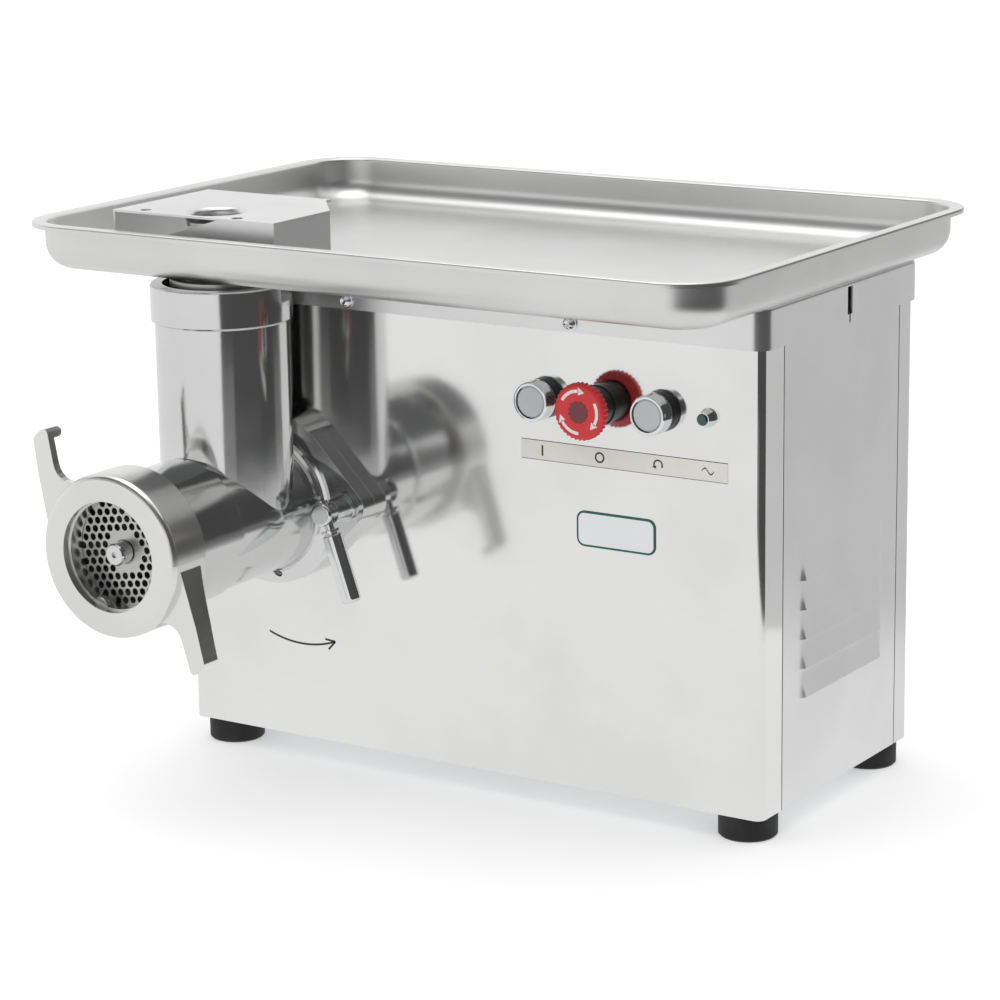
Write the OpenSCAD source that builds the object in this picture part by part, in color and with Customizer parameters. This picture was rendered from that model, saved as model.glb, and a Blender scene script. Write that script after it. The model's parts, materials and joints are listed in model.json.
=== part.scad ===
// Bench-top electric meat grinder with a sheet-steel cabinet, a cast grinding head and a lift-off tray.
// Millimetres, +Z up. Origin: centre of the overall footprint, on the surface the feet stand on.

/* [Cabinet] */
// Width of the cabinet
cab_w = 480; // [460:5:540]
// Depth of the cabinet
cab_d = 225; // [222:1:260]
// Height of the cabinet from its base to the top of its lid
cab_h = 351; // [345:1:380]
// Thickness of the cabinet's sheet steel
sheet = 1.2; // [1:0.1:1.6]
// Outer radius of the cabinet's upright bends
corner_r = 10; // [6:1:14]
// How far the front panel wraps round each side
front_return = 28.5; // [20:0.5:40]
// How far the rear panel wraps round each side
rear_return = 25; // [15:1:40]
// Width of the upright seams beside the side panels
seam = 1; // [0.5:0.1:1.5]
// Height of the upturned edge of the base plate
base_edge = 18; // [10:1:30]
// Vent slots in the base plate
base_slots = 6; // [2:1:8]

/* [Lid] */
// Height of the lid's skirt
lid_skirt = 29; // [20:1:40]
// How far the lid stands out past the panels
lid_lap = 2.7; // [2.2:0.1:5]
// Radius of the lid's top edge
lid_bend = 4; // [2:0.5:6]
// Width of the notch in the right side of the skirt
skirt_notch_w = 7; // [4:0.5:12]
// Distance of that notch behind the cabinet's front
skirt_notch_y = 118; // [60:1:160]

/* [Louvres] */
// Number of louvres in each side panel
louvre_n = 5; // [2:1:6]
// Length of a louvre
louvre_len = 125; // [80:1:140]
// Distance from one louvre to the next
louvre_pitch = 20.6; // [14:0.2:26]
// How far a louvre's lip stands out
louvre_out = 6; // [3:0.5:9]
// Height of the lowest louvre's lip above the base
louvre_base = 73; // [40:1:120]

/* [Feet] */
// Height of a foot
foot_h = 18; // [10:1:40]
// Radius of a foot
foot_r = 20.5; // [14:0.5:24]
// Distance of a foot's centre in from the cabinet's sides
foot_inset = 22; // [20:1:40]

/* [Tray] */
// Width of the tray over its rim
tray_w = 566; // [540:2:640]
// Depth of the tray over its rim
tray_d = 397; // [370:1:440]
// Height of the tray from its underside to its rim
tray_h = 33.7; // [28:0.1:60]
// How far the tray's rim stands out past the cabinet's left side
tray_left = 58.5; // [40:0.5:80]
// How far the tray's rim stands out past the cabinet's front
tray_front = 119; // [112:1:140]
// Thickness of the tray's sheet
tray_t = 1.2; // [0.8:0.1:2]
// Width of the tray's flat rim
rim_w = 9; // [6:0.5:14]
// Depth of the turned-down edge of the rim
rim_drop = 3.5; // [2.5:0.1:6]
// Outer radius of the rim's corners
rim_corner = 45; // [36:1:60]
// Radius between the tray's wall and floor
tray_bend = 18; // [8:1:22]

/* [Guard] */
// Width of the guard over the feed hole
guard_w = 139; // [110:1:150]
// Depth of the guard
guard_d = 108; // [100:1:125]
// How far the guard's front stands in front of the neck's axis
guard_lead = 29.5; // [25:0.5:40]
// Distance of the pusher hole behind the guard's front
pusher_back = 27; // [25:0.5:40]
// Height of the guard's top above the tray's rim
guard_rise = 10; // [0:1:30]
// Thickness of the guard's sheet
guard_t = 1.5; // [1:0.1:3]
// Radius of the pusher hole
pusher_r = 19; // [14:0.5:22]
// Radius of the rounded lip of the pusher hole
pusher_lip = 4.5; // [2:0.5:6]
// Depth of the collar drawn down round the pusher hole
pusher_drop = 9; // [7:0.5:14]

/* [Head] */
// Distance of the head's axis from the cabinet's left side
head_in = 84; // [82:1:100]
// Height of the head's axis above the base
head_up = 177; // [165:1:200]
// How far the ring nut's face stands out from the cabinet
head_reach = 194; // [186:1:215]
// Outer radius of the barrel
barrel_r = 48; // [47:0.5:50]
// Radius of the threaded front collar of the barrel
thread_r = 50.5; // [49:0.5:53]
// Length of that collar
thread_len = 66; // [45:1:70]
// Bore radius around the auger
auger_bore = 38.5; // [34:0.5:39.5]
// Thickness of the barrel's back wall in front of the cabinet
back_wall = 8; // [6:0.5:14]
// Thickness of the mounting flange
flange_t = 14; // [12:0.5:20]
// Height of the flange's middle and of the clamps above the head's axis
flange_up = 5; // [0:0.5:8]
// Radius of the round part of the flange
flange_r = 64; // [60:1:68]
// Radius of each lug's end
lug_r = 12; // [10:1:20]
// Distance of each lug's tip from the axis
lug_tip = 85; // [82:0.5:88]
// Radius of the spigot that locates the head in the gear case
spigot_r = 35; // [30:0.5:38]
// Length of that spigot behind the cabinet's front
spigot_len = 9; // [6:0.5:12]

/* [Feed neck] */
// Distance of the neck's axis in front of the cabinet
neck_out = 59; // [58:0.5:70]
// Outer radius of the neck
neck_r = 47; // [43.5:0.5:48]
// Bore radius of the neck
neck_bore = 41; // [38:0.5:42]
// Radius of the collar at the top of the neck
collar_r = 49.5; // [48.5:0.5:52]
// Height of that collar
collar_h = 27; // [15:1:40]
// Gap between the collar and the tray
tray_gap = 5.5; // [2:0.5:10]
// Radial gap between the tray's spout and the neck's bore
spout_gap = 5.5; // [1:0.5:8]
// How far the tray's spout reaches down into the neck
spout_len = 18; // [8:1:25]
// Depth of the notch in the collar
notch_h = 12; // [6:1:14]

/* [Cutting set] */
// Radius of the perforated plate
plate_r = 41; // [39:0.5:43]
// Thickness of the perforated plate
plate_t = 10; // [7:0.5:12]
// Diameter of its holes
hole_d = 4.8; // [3:0.1:5.5]
// Distance between its holes
hole_pitch = 6.5; // [6.2:0.1:9]
// Radius of the plain boss in its middle
plate_boss = 13; // [11:0.5:18]
// Radius of the auger's front pin
pin_r = 7.8; // [6:0.2:9]
// Radius of the knife
knife_r = 38.5; // [34:0.5:39]
// Thickness of the knife
knife_t = 12; // [9:0.5:14]
// Radius of the auger's core
auger_core = 17; // [12:0.5:22]
// Rise of the auger's flight in one turn
auger_pitch = 34; // [28:1:60]

/* [Ring nut] */
// Outer radius of the ring nut
nut_r = 57; // [56:0.5:62]
// Length of the ring nut
nut_len = 36; // [30:1:40]
// Radius of the opening in its lip
nut_mouth = 37.5; // [33:0.5:38]
// Width of the step round that opening
mouth_step = 1; // [0.5:0.1:2]
// Depth of the step
mouth_deep = 6.5; // [2:0.5:10]
// Radius of its front edge
nut_round = 5; // [1:0.5:8]
// Reach of an arm's tip from the axis
arm_reach = 101; // [85:1:110]
// Width of an arm at its tip
arm_w = 13.5; // [10:0.5:18]
// Depth of an arm along the axis at its tip
arm_deep = 15; // [12:0.5:18]
// Thickness of an arm's front web
arm_web = 6; // [4:0.5:8]
// Thickness of an arm's outer wall
arm_wall = 4; // [3:0.5:6]

/* [Clamps] */
// Distance of each clamp from the head's axis
clamp_x = 68; // [66:0.5:70]
// Radius of a clamp's body
clamp_r = 8.4; // [7:0.1:9]
// Length of a clamp in front of the flange
clamp_len = 29; // [26:1:36]
// Length of a clamp's tommy bar below its axis
bar_len = 65.5; // [45:0.5:66.5]
// Radius of the bar's grip
grip_r = 7; // [5:0.1:7.4]
// Radius of the studs that carry the clamps
stud_r = 5; // [4:0.5:5.5]

/* [Controls] */
// Distance of the lamp from the cabinet's right side
lamp_in = 41; // [38:1:60]
// Distance from the reverse button to the lamp
lamp_gap = 38; // [28:1:50]
// Distance from one button to the next
control_pitch = 45.5; // [44:0.5:50]
// Height of the controls above the base
control_z = 274; // [255:1:290]
// Radius of a button's bezel
bezel_r = 14.3; // [13.5:0.1:17]
// How far a bezel stands out
bezel_out = 15.5; // [14.5:0.5:20]
// Height of the black collar under a bezel
collar_t = 6; // [3:0.5:6]
// Radius of a button's cap
cap_r = 11; // [8:0.5:11]
// Thickness of a button's cap
cap_t = 3; // [2:0.5:4]
// Travel of a button
press = 4; // [2:0.5:5]
// Radius of the stop button's head
stop_r = 20; // [15:0.5:21]
// How far the stop button stands out
stop_out = 27.5; // [26:0.5:38]
// Travel of the stop button
stop_press = 5; // [3:0.5:6]
// Radius of the lamp's bezel
lamp_r = 6.5; // [5:0.5:10]
// How far the lamp's bezel stands out
lamp_out = 7.5; // [3:0.5:10]

/* [Drive] */
// Module of the output gear and its pinion
out_module = 2.5; // [2.4:0.05:2.55]
// Teeth on the output gear
out_teeth = 46; // [40:1:48]
// Teeth on the pinion that drives it
mid_pinion_teeth = 18; // [17:1:22]
// Module of the motor's gear pair
motor_module = 1.5; // [1.25:0.05:1.5]
// Teeth on the intermediate gear
mid_teeth = 58; // [50:1:60]
// Teeth on the motor's pinion
motor_teeth = 18; // [17:1:24]
// Face width of the output gear
out_face = 18; // [14:1:20]
// Face width of the intermediate gear
mid_face = 14; // [10:1:15]
// Play between meshing teeth
backlash = 0.35; // [0.2:0.05:0.6]
// Wall of the gear case
case_wall = 7; // [5:0.5:10]
// Thickness of the gear case's cover
cover_t = 14; // [13.5:0.5:16]
// Radius of the motor's frame
motor_r = 72; // [68:1:76]
// Length of the motor's frame between its shields
motor_len = 80; // [70:1:84]
// Wall of the motor's frame
frame_t = 6; // [4:0.5:8]
// Radius of the rotor
rotor_r = 40; // [30:1:44]

/* [Electrics] */
// Radius of the run capacitor
capacitor_r = 20; // [15:1:22]
// Height of the run capacitor's can
capacitor_h = 78; // [60:1:90]
// Distance of the run capacitor from the cabinet's right side
capacitor_in = 130; // [126:1:134]
// Distance of the run capacitor in front of the cabinet's back
capacitor_back = 75; // [60:1:90]
// Width of the contactor
contactor_w = 45; // [36:1:50]
// Depth of the contactor
contactor_d = 55; // [45:1:65]
// Height of the contactor
contactor_h = 73; // [60:1:90]
// Gap between the contactor's rail and the right side panel
contactor_in = 26; // [10:1:30]
// Distance of the rail's front edge from the cabinet's back
rail_back = 95; // [80:1:100]
// Length of the contactor's rail
rail_len = 60; // [56:1:70]
// Width of the rail
rail_w = 35; // [35:1:40]
// Height of the rail
rail_h = 7.5; // [5:0.5:15]
// Radius of the cable gland's body
gland_r = 10; // [8:0.5:14]
// Radius of its bore
gland_bore = 5; // [3:0.5:6]
// Distance of the gland from the cabinet's right side
gland_in = 60; // [40:1:90]
// Height of the gland above the base
gland_up = 45; // [35:1:80]

/* [Fits] */
// Radial clearance of a shaft in its bearing or bush
run_fit = 0.05; // [0.02:0.01:0.08]
// Radial clearance of a piece that is only located
slip_fit = 0.1; // [0.05:0.05:0.3]
// Gap left between pieces that move past each other
free_gap = 0.4; // [0.3:0.1:0.6]

/* [Hidden] */
$fn = 96;

// Overlap used where one shape of a piece is sunk into the next, and to carry cuts past a face
eps = 0.01;
past = 1;

// Cabinet: its left, front and lower edges in this frame
cab_x = tray_left - tray_w / 2;
cab_y = (head_reach - (tray_d - tray_front)) / 2;
cab_z = foot_h;
// The panels' top edges stop where they would meet the bend inside the lid
lid_inner = lid_bend - sheet;
bend_over = max(lid_bend - lid_lap, 0);
panel_h = cab_h - lid_bend + sqrt(pow(lid_inner, 2) - pow(bend_over, 2)) - slip_fit;
lid_top = cab_z + cab_h;
side_y = cab_y + front_return + seam;
side_len = cab_d - front_return - rear_return - 2 * seam;
louvre_y = (side_len - louvre_len) / 2;
louvre_land = 1.6;
louvre_h = louvre_pitch - louvre_land;
slot_len = 50;
slot_r = 3;
slot_pitch = 16;
notch_up = 6;
notch_slit = 2;

// Cable gland: its nuts, its clamping cap and its thread inside
gland_x = cab_x + cab_w - gland_in;
gland_z = cab_z + gland_up;
gland_nut_r = gland_r + 4;
gland_nut_t = 5;
gland_body = 12;
gland_cap = 12;
gland_inside = 10;

// Stainless, castings and the other finishes
steel = [0.83, 0.84, 0.84];
bright = [0.72, 0.74, 0.75];
dark = [0.12, 0.12, 0.13];
cast_grey = [0.55, 0.57, 0.58];

// Screws
screw_r = 2.5;
screw_head_r = 4.5;
screw_head_h = 2.6;
washer_r = 5.5;
washer_t = 1;
lid_screw_xs = [151, cab_w - 145.5];
lid_screw_grip = 8;
lid_nut_t = 4;
lid_screw_up = 6.5;
foot_bolt_r = 4;
foot_bolt_head_r = 6.5;
foot_bolt_head_h = 5;
foot_bolt_grip = 12;
foot_nut_r = 7;
foot_nut_t = 6;
foot_sink = 7;
foot_taper = 1.5;

// Head, measured along its axis from the cabinet's front, forward positive
head_pos = [cab_x + head_in, cab_y, cab_z + head_up];
nut_back = head_reach - nut_len;
lip_t = 18.2;
lip_face = head_reach - lip_t;
plate_front = lip_face - free_gap;
plate_back = plate_front - plate_t;
knife_front = plate_back - free_gap;
knife_back = knife_front - knife_t;
barrel_end = plate_front - 3.5;
recess_r = plate_r + slip_fit;
recess_back = knife_back - 3;
collar_back = barrel_end - thread_len;
arm_angles = [17, 191];
tab_angle = -110;
tab_r = 5;
tab_t = 5;
foot_fillet = 9;
thread_lead = 1.5;
neck_top = lid_top - tray_gap - head_pos[2];
spout_r = neck_bore - spout_gap;
neck_bore_from = 12;
notch_from = 4;
notch_to = 44;
drain = [9, -50.2];
drain_r = 3.6;
drain_deep = 12;
key_r = 2.5;
key_angle = 90;
plate_turn = 9;
washer_face = 3;

// Clamps, which turn on the studs
stud_places = [for (s = [-1, 1]) [s * clamp_x, flange_up]];
stud_deep = 16;
clamp_foot_r = clamp_r + 2.1;
clamp_foot_t = 3;
clamp_back = flange_t + free_gap;
clamp_front = clamp_back + clamp_len;
clamp_dome = 2;
// The bar crosses the body in a groove round it
bar_at = clamp_front - 7;
bar_r = 3.5;
groove_half = 4.2;
groove_r = clamp_r - 3;
stud_end = bar_at - groove_half - 1.5;
bar_top = 9;
bar_end_t = 2.5;
bar_ring_at = 12;
bar_ring_t = 1.8;
grip_from = 15.5;
bar_lean = 19;

// Auger and its drive
journal_r = auger_bore / 2 - 2.4;
auger_r = auger_bore - free_gap;
tang = 18;
tang_len = 22;
knife_square = 15;
auger_back = back_wall + washer_face + free_gap;
flight_half = 62;
flight_turns = (knife_back - auger_back) / auger_pitch;
flight_steps = ceil(flight_turns * 22);
pin_end = head_reach - 7;

// Drive, measured as depth behind the cabinet's front
out_r = out_module * out_teeth / 2;
mid_pinion_r = out_module * mid_pinion_teeth / 2;
mid_r = motor_module * mid_teeth / 2;
motor_pinion_r = motor_module * motor_teeth / 2;
out_centres = out_r + mid_pinion_r;
motor_centres = mid_r + motor_pinion_r;
out_angle = -20;
motor_angle = -30;
mid_at = out_centres * [cos(out_angle), sin(out_angle)];
motor_at = mid_at + motor_centres * [cos(motor_angle), sin(motor_angle)];
// Bearings: shaft radius, outer radius, width
out_front_brg = [17.5, 36, 17];
out_rear_brg = [12.5, 26, 15];
mid_brg = [8.5, 20, 12];
motor_front_brg = [10, 23.5, 14];
motor_rear_brg = [8.5, 20, 12];
seal_t = 8;
seal_outer = 31;
boss_wall = 5;
case_front = sheet;
front_wall = corner_r + 1;
seal_at = spigot_len + sheet;
out_front_at = seal_at + seal_t;
out_gear_at = out_front_at + out_front_brg[2] + 3;
mid_front_at = out_gear_at - 2 - mid_brg[2];
mid_gear_at = out_gear_at + out_face + 5;
out_rear_at = mid_gear_at;
cover_at = max(mid_gear_at + mid_face + 3, out_rear_at + out_rear_brg[2] + 2);
motor_front = cover_at + cover_t;
shield_t = 14;
rear_shield_t = 12;
frame_at = motor_front + shield_t;
rear_shield_at = frame_at + motor_len;
motor_front_at = motor_front + 2;
motor_rear_at = rear_shield_at - 2;
core_at = frame_at + 12;
core_len = motor_len - 24;
coil_over = 8;
gear_recess = 4;
stator_slots = 24;
stator_slot = [14, 5];
slot_mouth = 2;
tooth_tip = 3;
coil_gap = 0.2;
air_gap = 0.6;
fan_at = rear_shield_at + rear_shield_t + 3;
fan_t = 9;
fan_r = motor_r - 10;
fan_hub = 14;
fan_blades = 8;
fan_cover_t = 1.5;
fan_cover_len = fan_t + 8;
fan_hole_r = 3;
fan_hole_pitch = 12;
fan_disc = 1.5;
fan_blade = 2;
case_r = [max(out_r + out_module + 3, norm([clamp_x, flange_up]) + stud_r) + case_wall,
    mid_r + motor_module + 3 + case_wall, motor_pinion_r + motor_module + 13 + case_wall];
// The case's front stands in from the bend of the front panel
case_front_inset = max(0, case_r[0] - head_in + corner_r);
case_bolt_r = 2.5;
case_bolt_grip = 12;
bolt_head_r = 4.3;
bolt_head_h = 4;
bolt_sink = bolt_head_h + 1;
out_bolt_angles = [60 : 50 : 260];
motor_bolt_angles = [-90 : 60 : 30];
cradle_t = 3;
cradle_foot = 30;
cradle_at = frame_at + 10;
frame_ribs = 24;
rib_w = 2.4;

// Electrics on the base plate
floor_z = cab_z + sheet;
capacitor_cap_r = 0.6 * capacitor_r;
capacitor_cap_h = 6;
terminal = [0.8, 6, 8];
rail_t = 1;
contactor_low = 0.62 * contactor_h;
contactor_step = [6, 10];

// Controls
lamp_x = cab_w - lamp_in;
reverse_x = lamp_x - lamp_gap;
stop_x = reverse_x - control_pitch;
start_x = stop_x - control_pitch;
control_hole = 11;
bezel_lip = 1.6;
bezel_draft = 0.6;
collar_ribs = 3;
ring_t = 4;
block_w = 30;
block_h = 40;
block_d = 32;
block_at = 22;
stem_r = 3;
stem_in = 6;
cap_sink = 0.6;
cap_front = bezel_out - cap_sink;
cap_floor = cap_front - cap_t - press - free_gap;
// Stop button: its black neck, the back of its head and its ribbed rim
stop_neck_r = bezel_r - 0.8;
stop_back = stop_out - 10;
stop_rim = [stop_out - 6, stop_out - 2.5];
stop_hollow_r = stop_neck_r + 0.6;
stop_ribs = 36;
lamp_base = 1.2;
lamp_draft = 1.6;
lamp_inside = 30;
lens_r = lamp_r - 1.8;
lens_lip = 0.6;
lens_dome = 1.5;

// Tray, with its lower face on the lid
tray_x = -tray_w / 2;
tray_y = cab_y - tray_front;
tray_z = lid_top;
wall_r = rim_corner - rim_w;
guard_x = head_pos[0] - guard_w / 2;
guard_y = cab_y - neck_out - guard_lead;
guard_top = tray_z + tray_h + guard_rise;
guard_flange = 65;
guard_chamfer = [30, 37];
guard_slope_x = 44;
guard_slope_z = 29;
rivet_holes = [[22, 9], [103, 7]];
rivet_hole_r = 4;

// ---------- shared shapes ----------

// Points of an arc about c, from angle a0 to a1
function arc(c, r, a0, a1, n = 8) =
    [for (i = [0 : n]) let (a = a0 + (a1 - a0) * i / n) c + r * [cos(a), sin(a)]];

// Involute angle of a gear flank at radius r over base radius rb
function inv(r, rb) = r <= rb ? 0 : tan(acos(rb / r)) * 180 / PI - acos(rb / r);

// Outline of a spur gear with a tooth centred on angle 0
function gear_points(m, n, play) =
    let (rp = m * n / 2, rb = rp * cos(20), ra = rp + m, rf = rp - 1.25 * m,
        slack = play / rp * 45 / PI, rs = [rf, max(rb, rf + eps), (rb + rp) / 2 + m / 4, rp + m / 3, ra])
    [for (k = [0 : n - 1]) for (s = [-1, 1]) for (i = [0 : 4])
        let (r = s < 0 ? rs[i] : rs[4 - i], half = 90 / n - slack + inv(rp, rb) - inv(r, rb),
            a = 360 * k / n + s * half)
        r * [cos(a), sin(a)]];

// Rectangle with round corners, its corner at the origin
module round_rect(w, d, r) {
    translate([r, 0]) square([w - 2 * r, d]);
    translate([0, r]) square([w, d - 2 * r]);
    for (x = [r, w - r], y = [r, d - r]) translate([x, y]) circle(r);
}

// Two circles and the straight sides that join them
module link(p, rp, q, rq) {
    a = atan2(q[1] - p[1], q[0] - p[0]);
    k = acos((rp - rq) / norm(q - p));
    translate(p) circle(rp);
    translate(q) circle(rq);
    polygon([for (s = [-1, 1]) p + (rp - eps) * [cos(a + s * k), sin(a + s * k)],
        for (s = [1, -1]) q + (rq - eps) * [cos(a + s * k), sin(a + s * k)]]);
}

// Sweeps a profile round a rectangle; the profile's x is its distance from the corner's centre
module swept_edge(w, d, r) {
    for (c = [[w - r, d - r, 0], [r, d - r, 90], [r, r, 180], [w - r, r, 270]])
        translate([c[0], c[1], 0]) rotate([0, 0, c[2]]) rotate_extrude(angle = 90) children();
    for (c = [[w - r, d / 2, 0, d], [w / 2, d - r, 90, w], [r, d / 2, 180, d], [w / 2, r, 270, w]])
        translate([c[0], c[1], 0]) rotate([0, 0, c[2]]) rotate([90, 0, 0])
            linear_extrude(c[3] - 2 * r, center = true) children();
}

// Round bar between two heights on the local axis
module bar(z0, z1, r) translate([0, 0, z0]) cylinder(h = z1 - z0, r = r);

// The same, measured as depth behind the cabinet's front
module deep(d0, d1, r) bar(-d1, -d0, r);

// Local axis along the head, forward; x to the right and y up
module on_head(at = [0, 0]) translate(head_pos + [at[0], 0, at[1]]) rotate([90, 0, 0]) children();

// The same at a point on the cabinet's front, measured from its lower left corner
module on_front(x, z) translate([cab_x + x, cab_y, cab_z + z]) rotate([90, 0, 0]) children();

// Ball bearing: two grooved rings and the balls between them
module bearing(b, at) color(bright) translate([0, 0, -at - b[2]]) {
    middle = (b[0] + b[1]) / 2;
    ball = (b[1] - b[0]) * 0.3;
    groove = ball * 1.03;
    ring = (b[1] - b[0]) / 2 - ball * 0.6;
    difference() {
        cylinder(h = b[2], r = b[1]);
        translate([0, 0, -past]) cylinder(h = b[2] + 2 * past, r = b[1] - ring);
        translate([0, 0, b[2] / 2]) rotate_extrude() translate([middle, 0]) circle(groove);
    }
    difference() {
        cylinder(h = b[2], r = b[0] + ring);
        translate([0, 0, -past]) cylinder(h = b[2] + 2 * past, r = b[0] + run_fit);
        translate([0, 0, b[2] / 2]) rotate_extrude() translate([middle, 0]) circle(groove);
    }
    for (a = [0 : 45 : 315]) rotate([0, 0, a]) translate([middle, 0, b[2] / 2]) sphere(ball);
}

// ---------- cabinet ----------

// Outline of a U-shaped panel, its face along X at y = 0
module u_outline(w, d, r) {
    translate([r, 0]) square([w - 2 * r, d]);
    translate([0, r]) square([w, d - r]);
    for (x = [r, w - r]) translate([x, r]) circle(r);
}

module u_sheet(ret) difference() {
    u_outline(cab_w, ret, corner_r);
    translate([sheet, sheet]) u_outline(cab_w - 2 * sheet, ret, corner_r - sheet);
}

// Screw holes through both skirts and panels
module lid_screw_places() for (x = lid_screw_xs, back = [0, 1])
    translate([cab_x + x, cab_y + back * cab_d, lid_top - lid_skirt + lid_screw_up])
        rotate([back ? -90 : 90, 0, 0]) children();

module foot_places(i) translate([cab_x + (i % 2 == 0 ? foot_inset : cab_w - foot_inset),
    cab_y + (i < 2 ? foot_inset : cab_d - foot_inset), 0]) children();

module front_panel() color(steel) difference() {
    translate([cab_x, cab_y, cab_z]) linear_extrude(panel_h) u_sheet(front_return);
    on_head() {
        deep(-past, sheet + past, spigot_r + slip_fit);
        for (p = stud_places) translate(p) deep(-past, corner_r, stud_r + slip_fit);
    }
    for (x = [start_x, stop_x, reverse_x]) on_front(x, control_z)
        deep(-past, sheet + past, control_hole + slip_fit);
    on_front(lamp_x, control_z) deep(-past, sheet + past, lens_r + slip_fit);
    lid_screw_places() bar(-sheet - past, past, screw_r + slip_fit);
}

module rear_panel() color(steel) difference() {
    translate([cab_x, cab_y + cab_d, cab_z]) mirror([0, 1, 0]) linear_extrude(panel_h) u_sheet(rear_return);
    lid_screw_places() bar(-sheet - past, past, screw_r + slip_fit);
    translate([gland_x, cab_y + cab_d + past, gland_z]) rotate([90, 0, 0])
        cylinder(h = sheet + 2 * past, r = gland_r + slip_fit);
}

// Side panel with its louvres, its outer face towards +X
module louvred_sheet() {
    difference() {
        cube([sheet, side_len, panel_h]);
        for (i = [0 : louvre_n - 1])
            translate([-past, louvre_y + sheet, louvre_base + i * louvre_pitch])
                cube([sheet + 2 * past, louvre_len - 2 * sheet, louvre_h]);
    }
    for (i = [0 : louvre_n - 1]) translate([0, louvre_y, louvre_base + i * louvre_pitch]) louvre();
}

module left_side_panel() color(steel)
    translate([cab_x + sheet, side_y, cab_z]) mirror([1, 0, 0]) louvred_sheet();

module right_side_panel() color(steel) translate([cab_x + cab_w - sheet, side_y, cab_z]) louvred_sheet();

// Pressed-out hood with closed ends, open below
module louvre() {
    top = louvre_h + eps;
    slope = [[0, top], [sheet, top], [sheet + louvre_out, 0], [louvre_out, 0]];
    cheek = [[0, top], [sheet, top], [sheet + louvre_out, 0], [0, 0]];
    translate([0, louvre_len, 0]) rotate([90, 0, 0]) {
        linear_extrude(louvre_len) polygon(slope);
        for (y = [0, louvre_len - sheet]) translate([0, 0, y]) linear_extrude(sheet) polygon(cheek);
    }
}

module base_plate() color(cast_grey) difference() {
    inner = corner_r - sheet;
    translate([cab_x + sheet, cab_y + sheet, cab_z]) linear_extrude(base_edge)
        round_rect(cab_w - 2 * sheet, cab_d - 2 * sheet, inner);
    translate([cab_x + 2 * sheet, cab_y + 2 * sheet, cab_z + sheet]) linear_extrude(base_edge)
        round_rect(cab_w - 4 * sheet, cab_d - 4 * sheet, inner - sheet);
    for (i = [0 : 3]) foot_places(i) bar(cab_z - past, cab_z + sheet + past, foot_bolt_r + slip_fit);
    for (i = [0 : base_slots - 1])
        translate([cab_x + cab_w / 2 + i * slot_pitch, cab_y + (cab_d - slot_len) / 2, cab_z - past])
            vent_slot();
}

module vent_slot() linear_extrude(sheet + 2 * past) {
    translate([-slot_r, 0]) square([2 * slot_r, slot_len]);
    for (y = [0, slot_len]) translate([0, y]) circle(slot_r);
}

module lid() color(steel) {
    w = cab_w + 2 * lid_lap;
    d = cab_d + 2 * lid_lap;
    r = corner_r + lid_lap;
    difference() {
        translate([cab_x - lid_lap, cab_y - lid_lap, lid_top - lid_skirt]) {
            swept_edge(w, d, r) polygon(concat([[r - sheet, 0], [r, 0]],
                arc([r - lid_bend, lid_skirt - lid_bend], lid_bend, 0, 90, 6),
                arc([r - lid_bend, lid_skirt - lid_bend], lid_bend - sheet, 90, 0, 6)));
            translate([lid_bend - eps, lid_bend - eps, lid_skirt - sheet]) linear_extrude(sheet)
                round_rect(w - 2 * (lid_bend - eps), d - 2 * (lid_bend - eps), r - lid_bend + eps);
        }
        lid_screw_places() bar(-past, lid_lap + past, screw_r + slip_fit);
        translate([cab_x + cab_w, cab_y + skirt_notch_y, lid_top - lid_skirt]) {
            translate([-past, -skirt_notch_w / 2, notch_up])
                cube([lid_lap + 2 * past, skirt_notch_w, lid_skirt - notch_up - lid_bend]);
            translate([-past, -notch_slit / 2, -past])
                cube([lid_lap + 2 * past, notch_slit, notch_up + 2 * past]);
        }
    }
}

module lid_screws() color(bright) lid_screw_places() {
    bar(-sheet - lid_screw_grip, lid_lap, screw_r);
    bar(lid_lap, lid_lap + washer_t, washer_r);
    translate([0, 0, lid_lap + washer_t]) rotate_extrude() polygon(concat([[0, 0]],
        arc([0, 0], screw_head_r, 0, 60, 6), [[0, screw_head_h]]));
    deep(sheet, sheet + lid_nut_t, screw_head_r);
}

// Rubber foot with a sunk screw hole
module foot(i) color(dark) foot_places(i) difference() {
    rotate_extrude()
        polygon([[0, 0], [foot_r - foot_taper, 0], [foot_r, foot_taper], [foot_r, foot_h], [0, foot_h]]);
    bar(-past, foot_sink, foot_bolt_head_r + free_gap);
    bar(-past, foot_h + past, foot_bolt_r + slip_fit);
}

module foot_bolts() color(bright) for (i = [0 : 3]) foot_places(i) {
    bar(foot_sink - foot_bolt_head_h, foot_sink, foot_bolt_head_r);
    bar(foot_sink, foot_h + foot_bolt_grip, foot_bolt_r);
    bar(floor_z, floor_z + foot_nut_t, foot_nut_r, $fn = 6);
}

// Cable entry in the rear panel, with its clamping nut outside and lock nut inside
module cable_gland() color(dark) translate([gland_x, cab_y + cab_d, gland_z]) rotate([-90, 0, 0])
    difference() {
        union() {
            bar(-sheet - gland_inside, gland_body, gland_r);
            bar(0, gland_nut_t, gland_nut_r, $fn = 6);
            bar(-sheet - gland_nut_t, -sheet, gland_nut_r, $fn = 6);
            translate([0, 0, gland_body]) rotate_extrude() polygon([[0, -eps], [gland_r + 1.5, -eps],
                [gland_r + 1.5, gland_cap - 5], [gland_r - 2.5, gland_cap], [0, gland_cap]]);
        }
        bar(-sheet - gland_inside - past, gland_body + gland_cap + past, gland_bore);
    }

// ---------- gear case and motor, fixed pieces ----------

module case_outline(inset = 0) {
    link([0, 0], case_r[0] - inset, mid_at, case_r[1] - inset);
    link(mid_at, case_r[1] - inset, motor_at, case_r[2] - inset);
}

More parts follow.
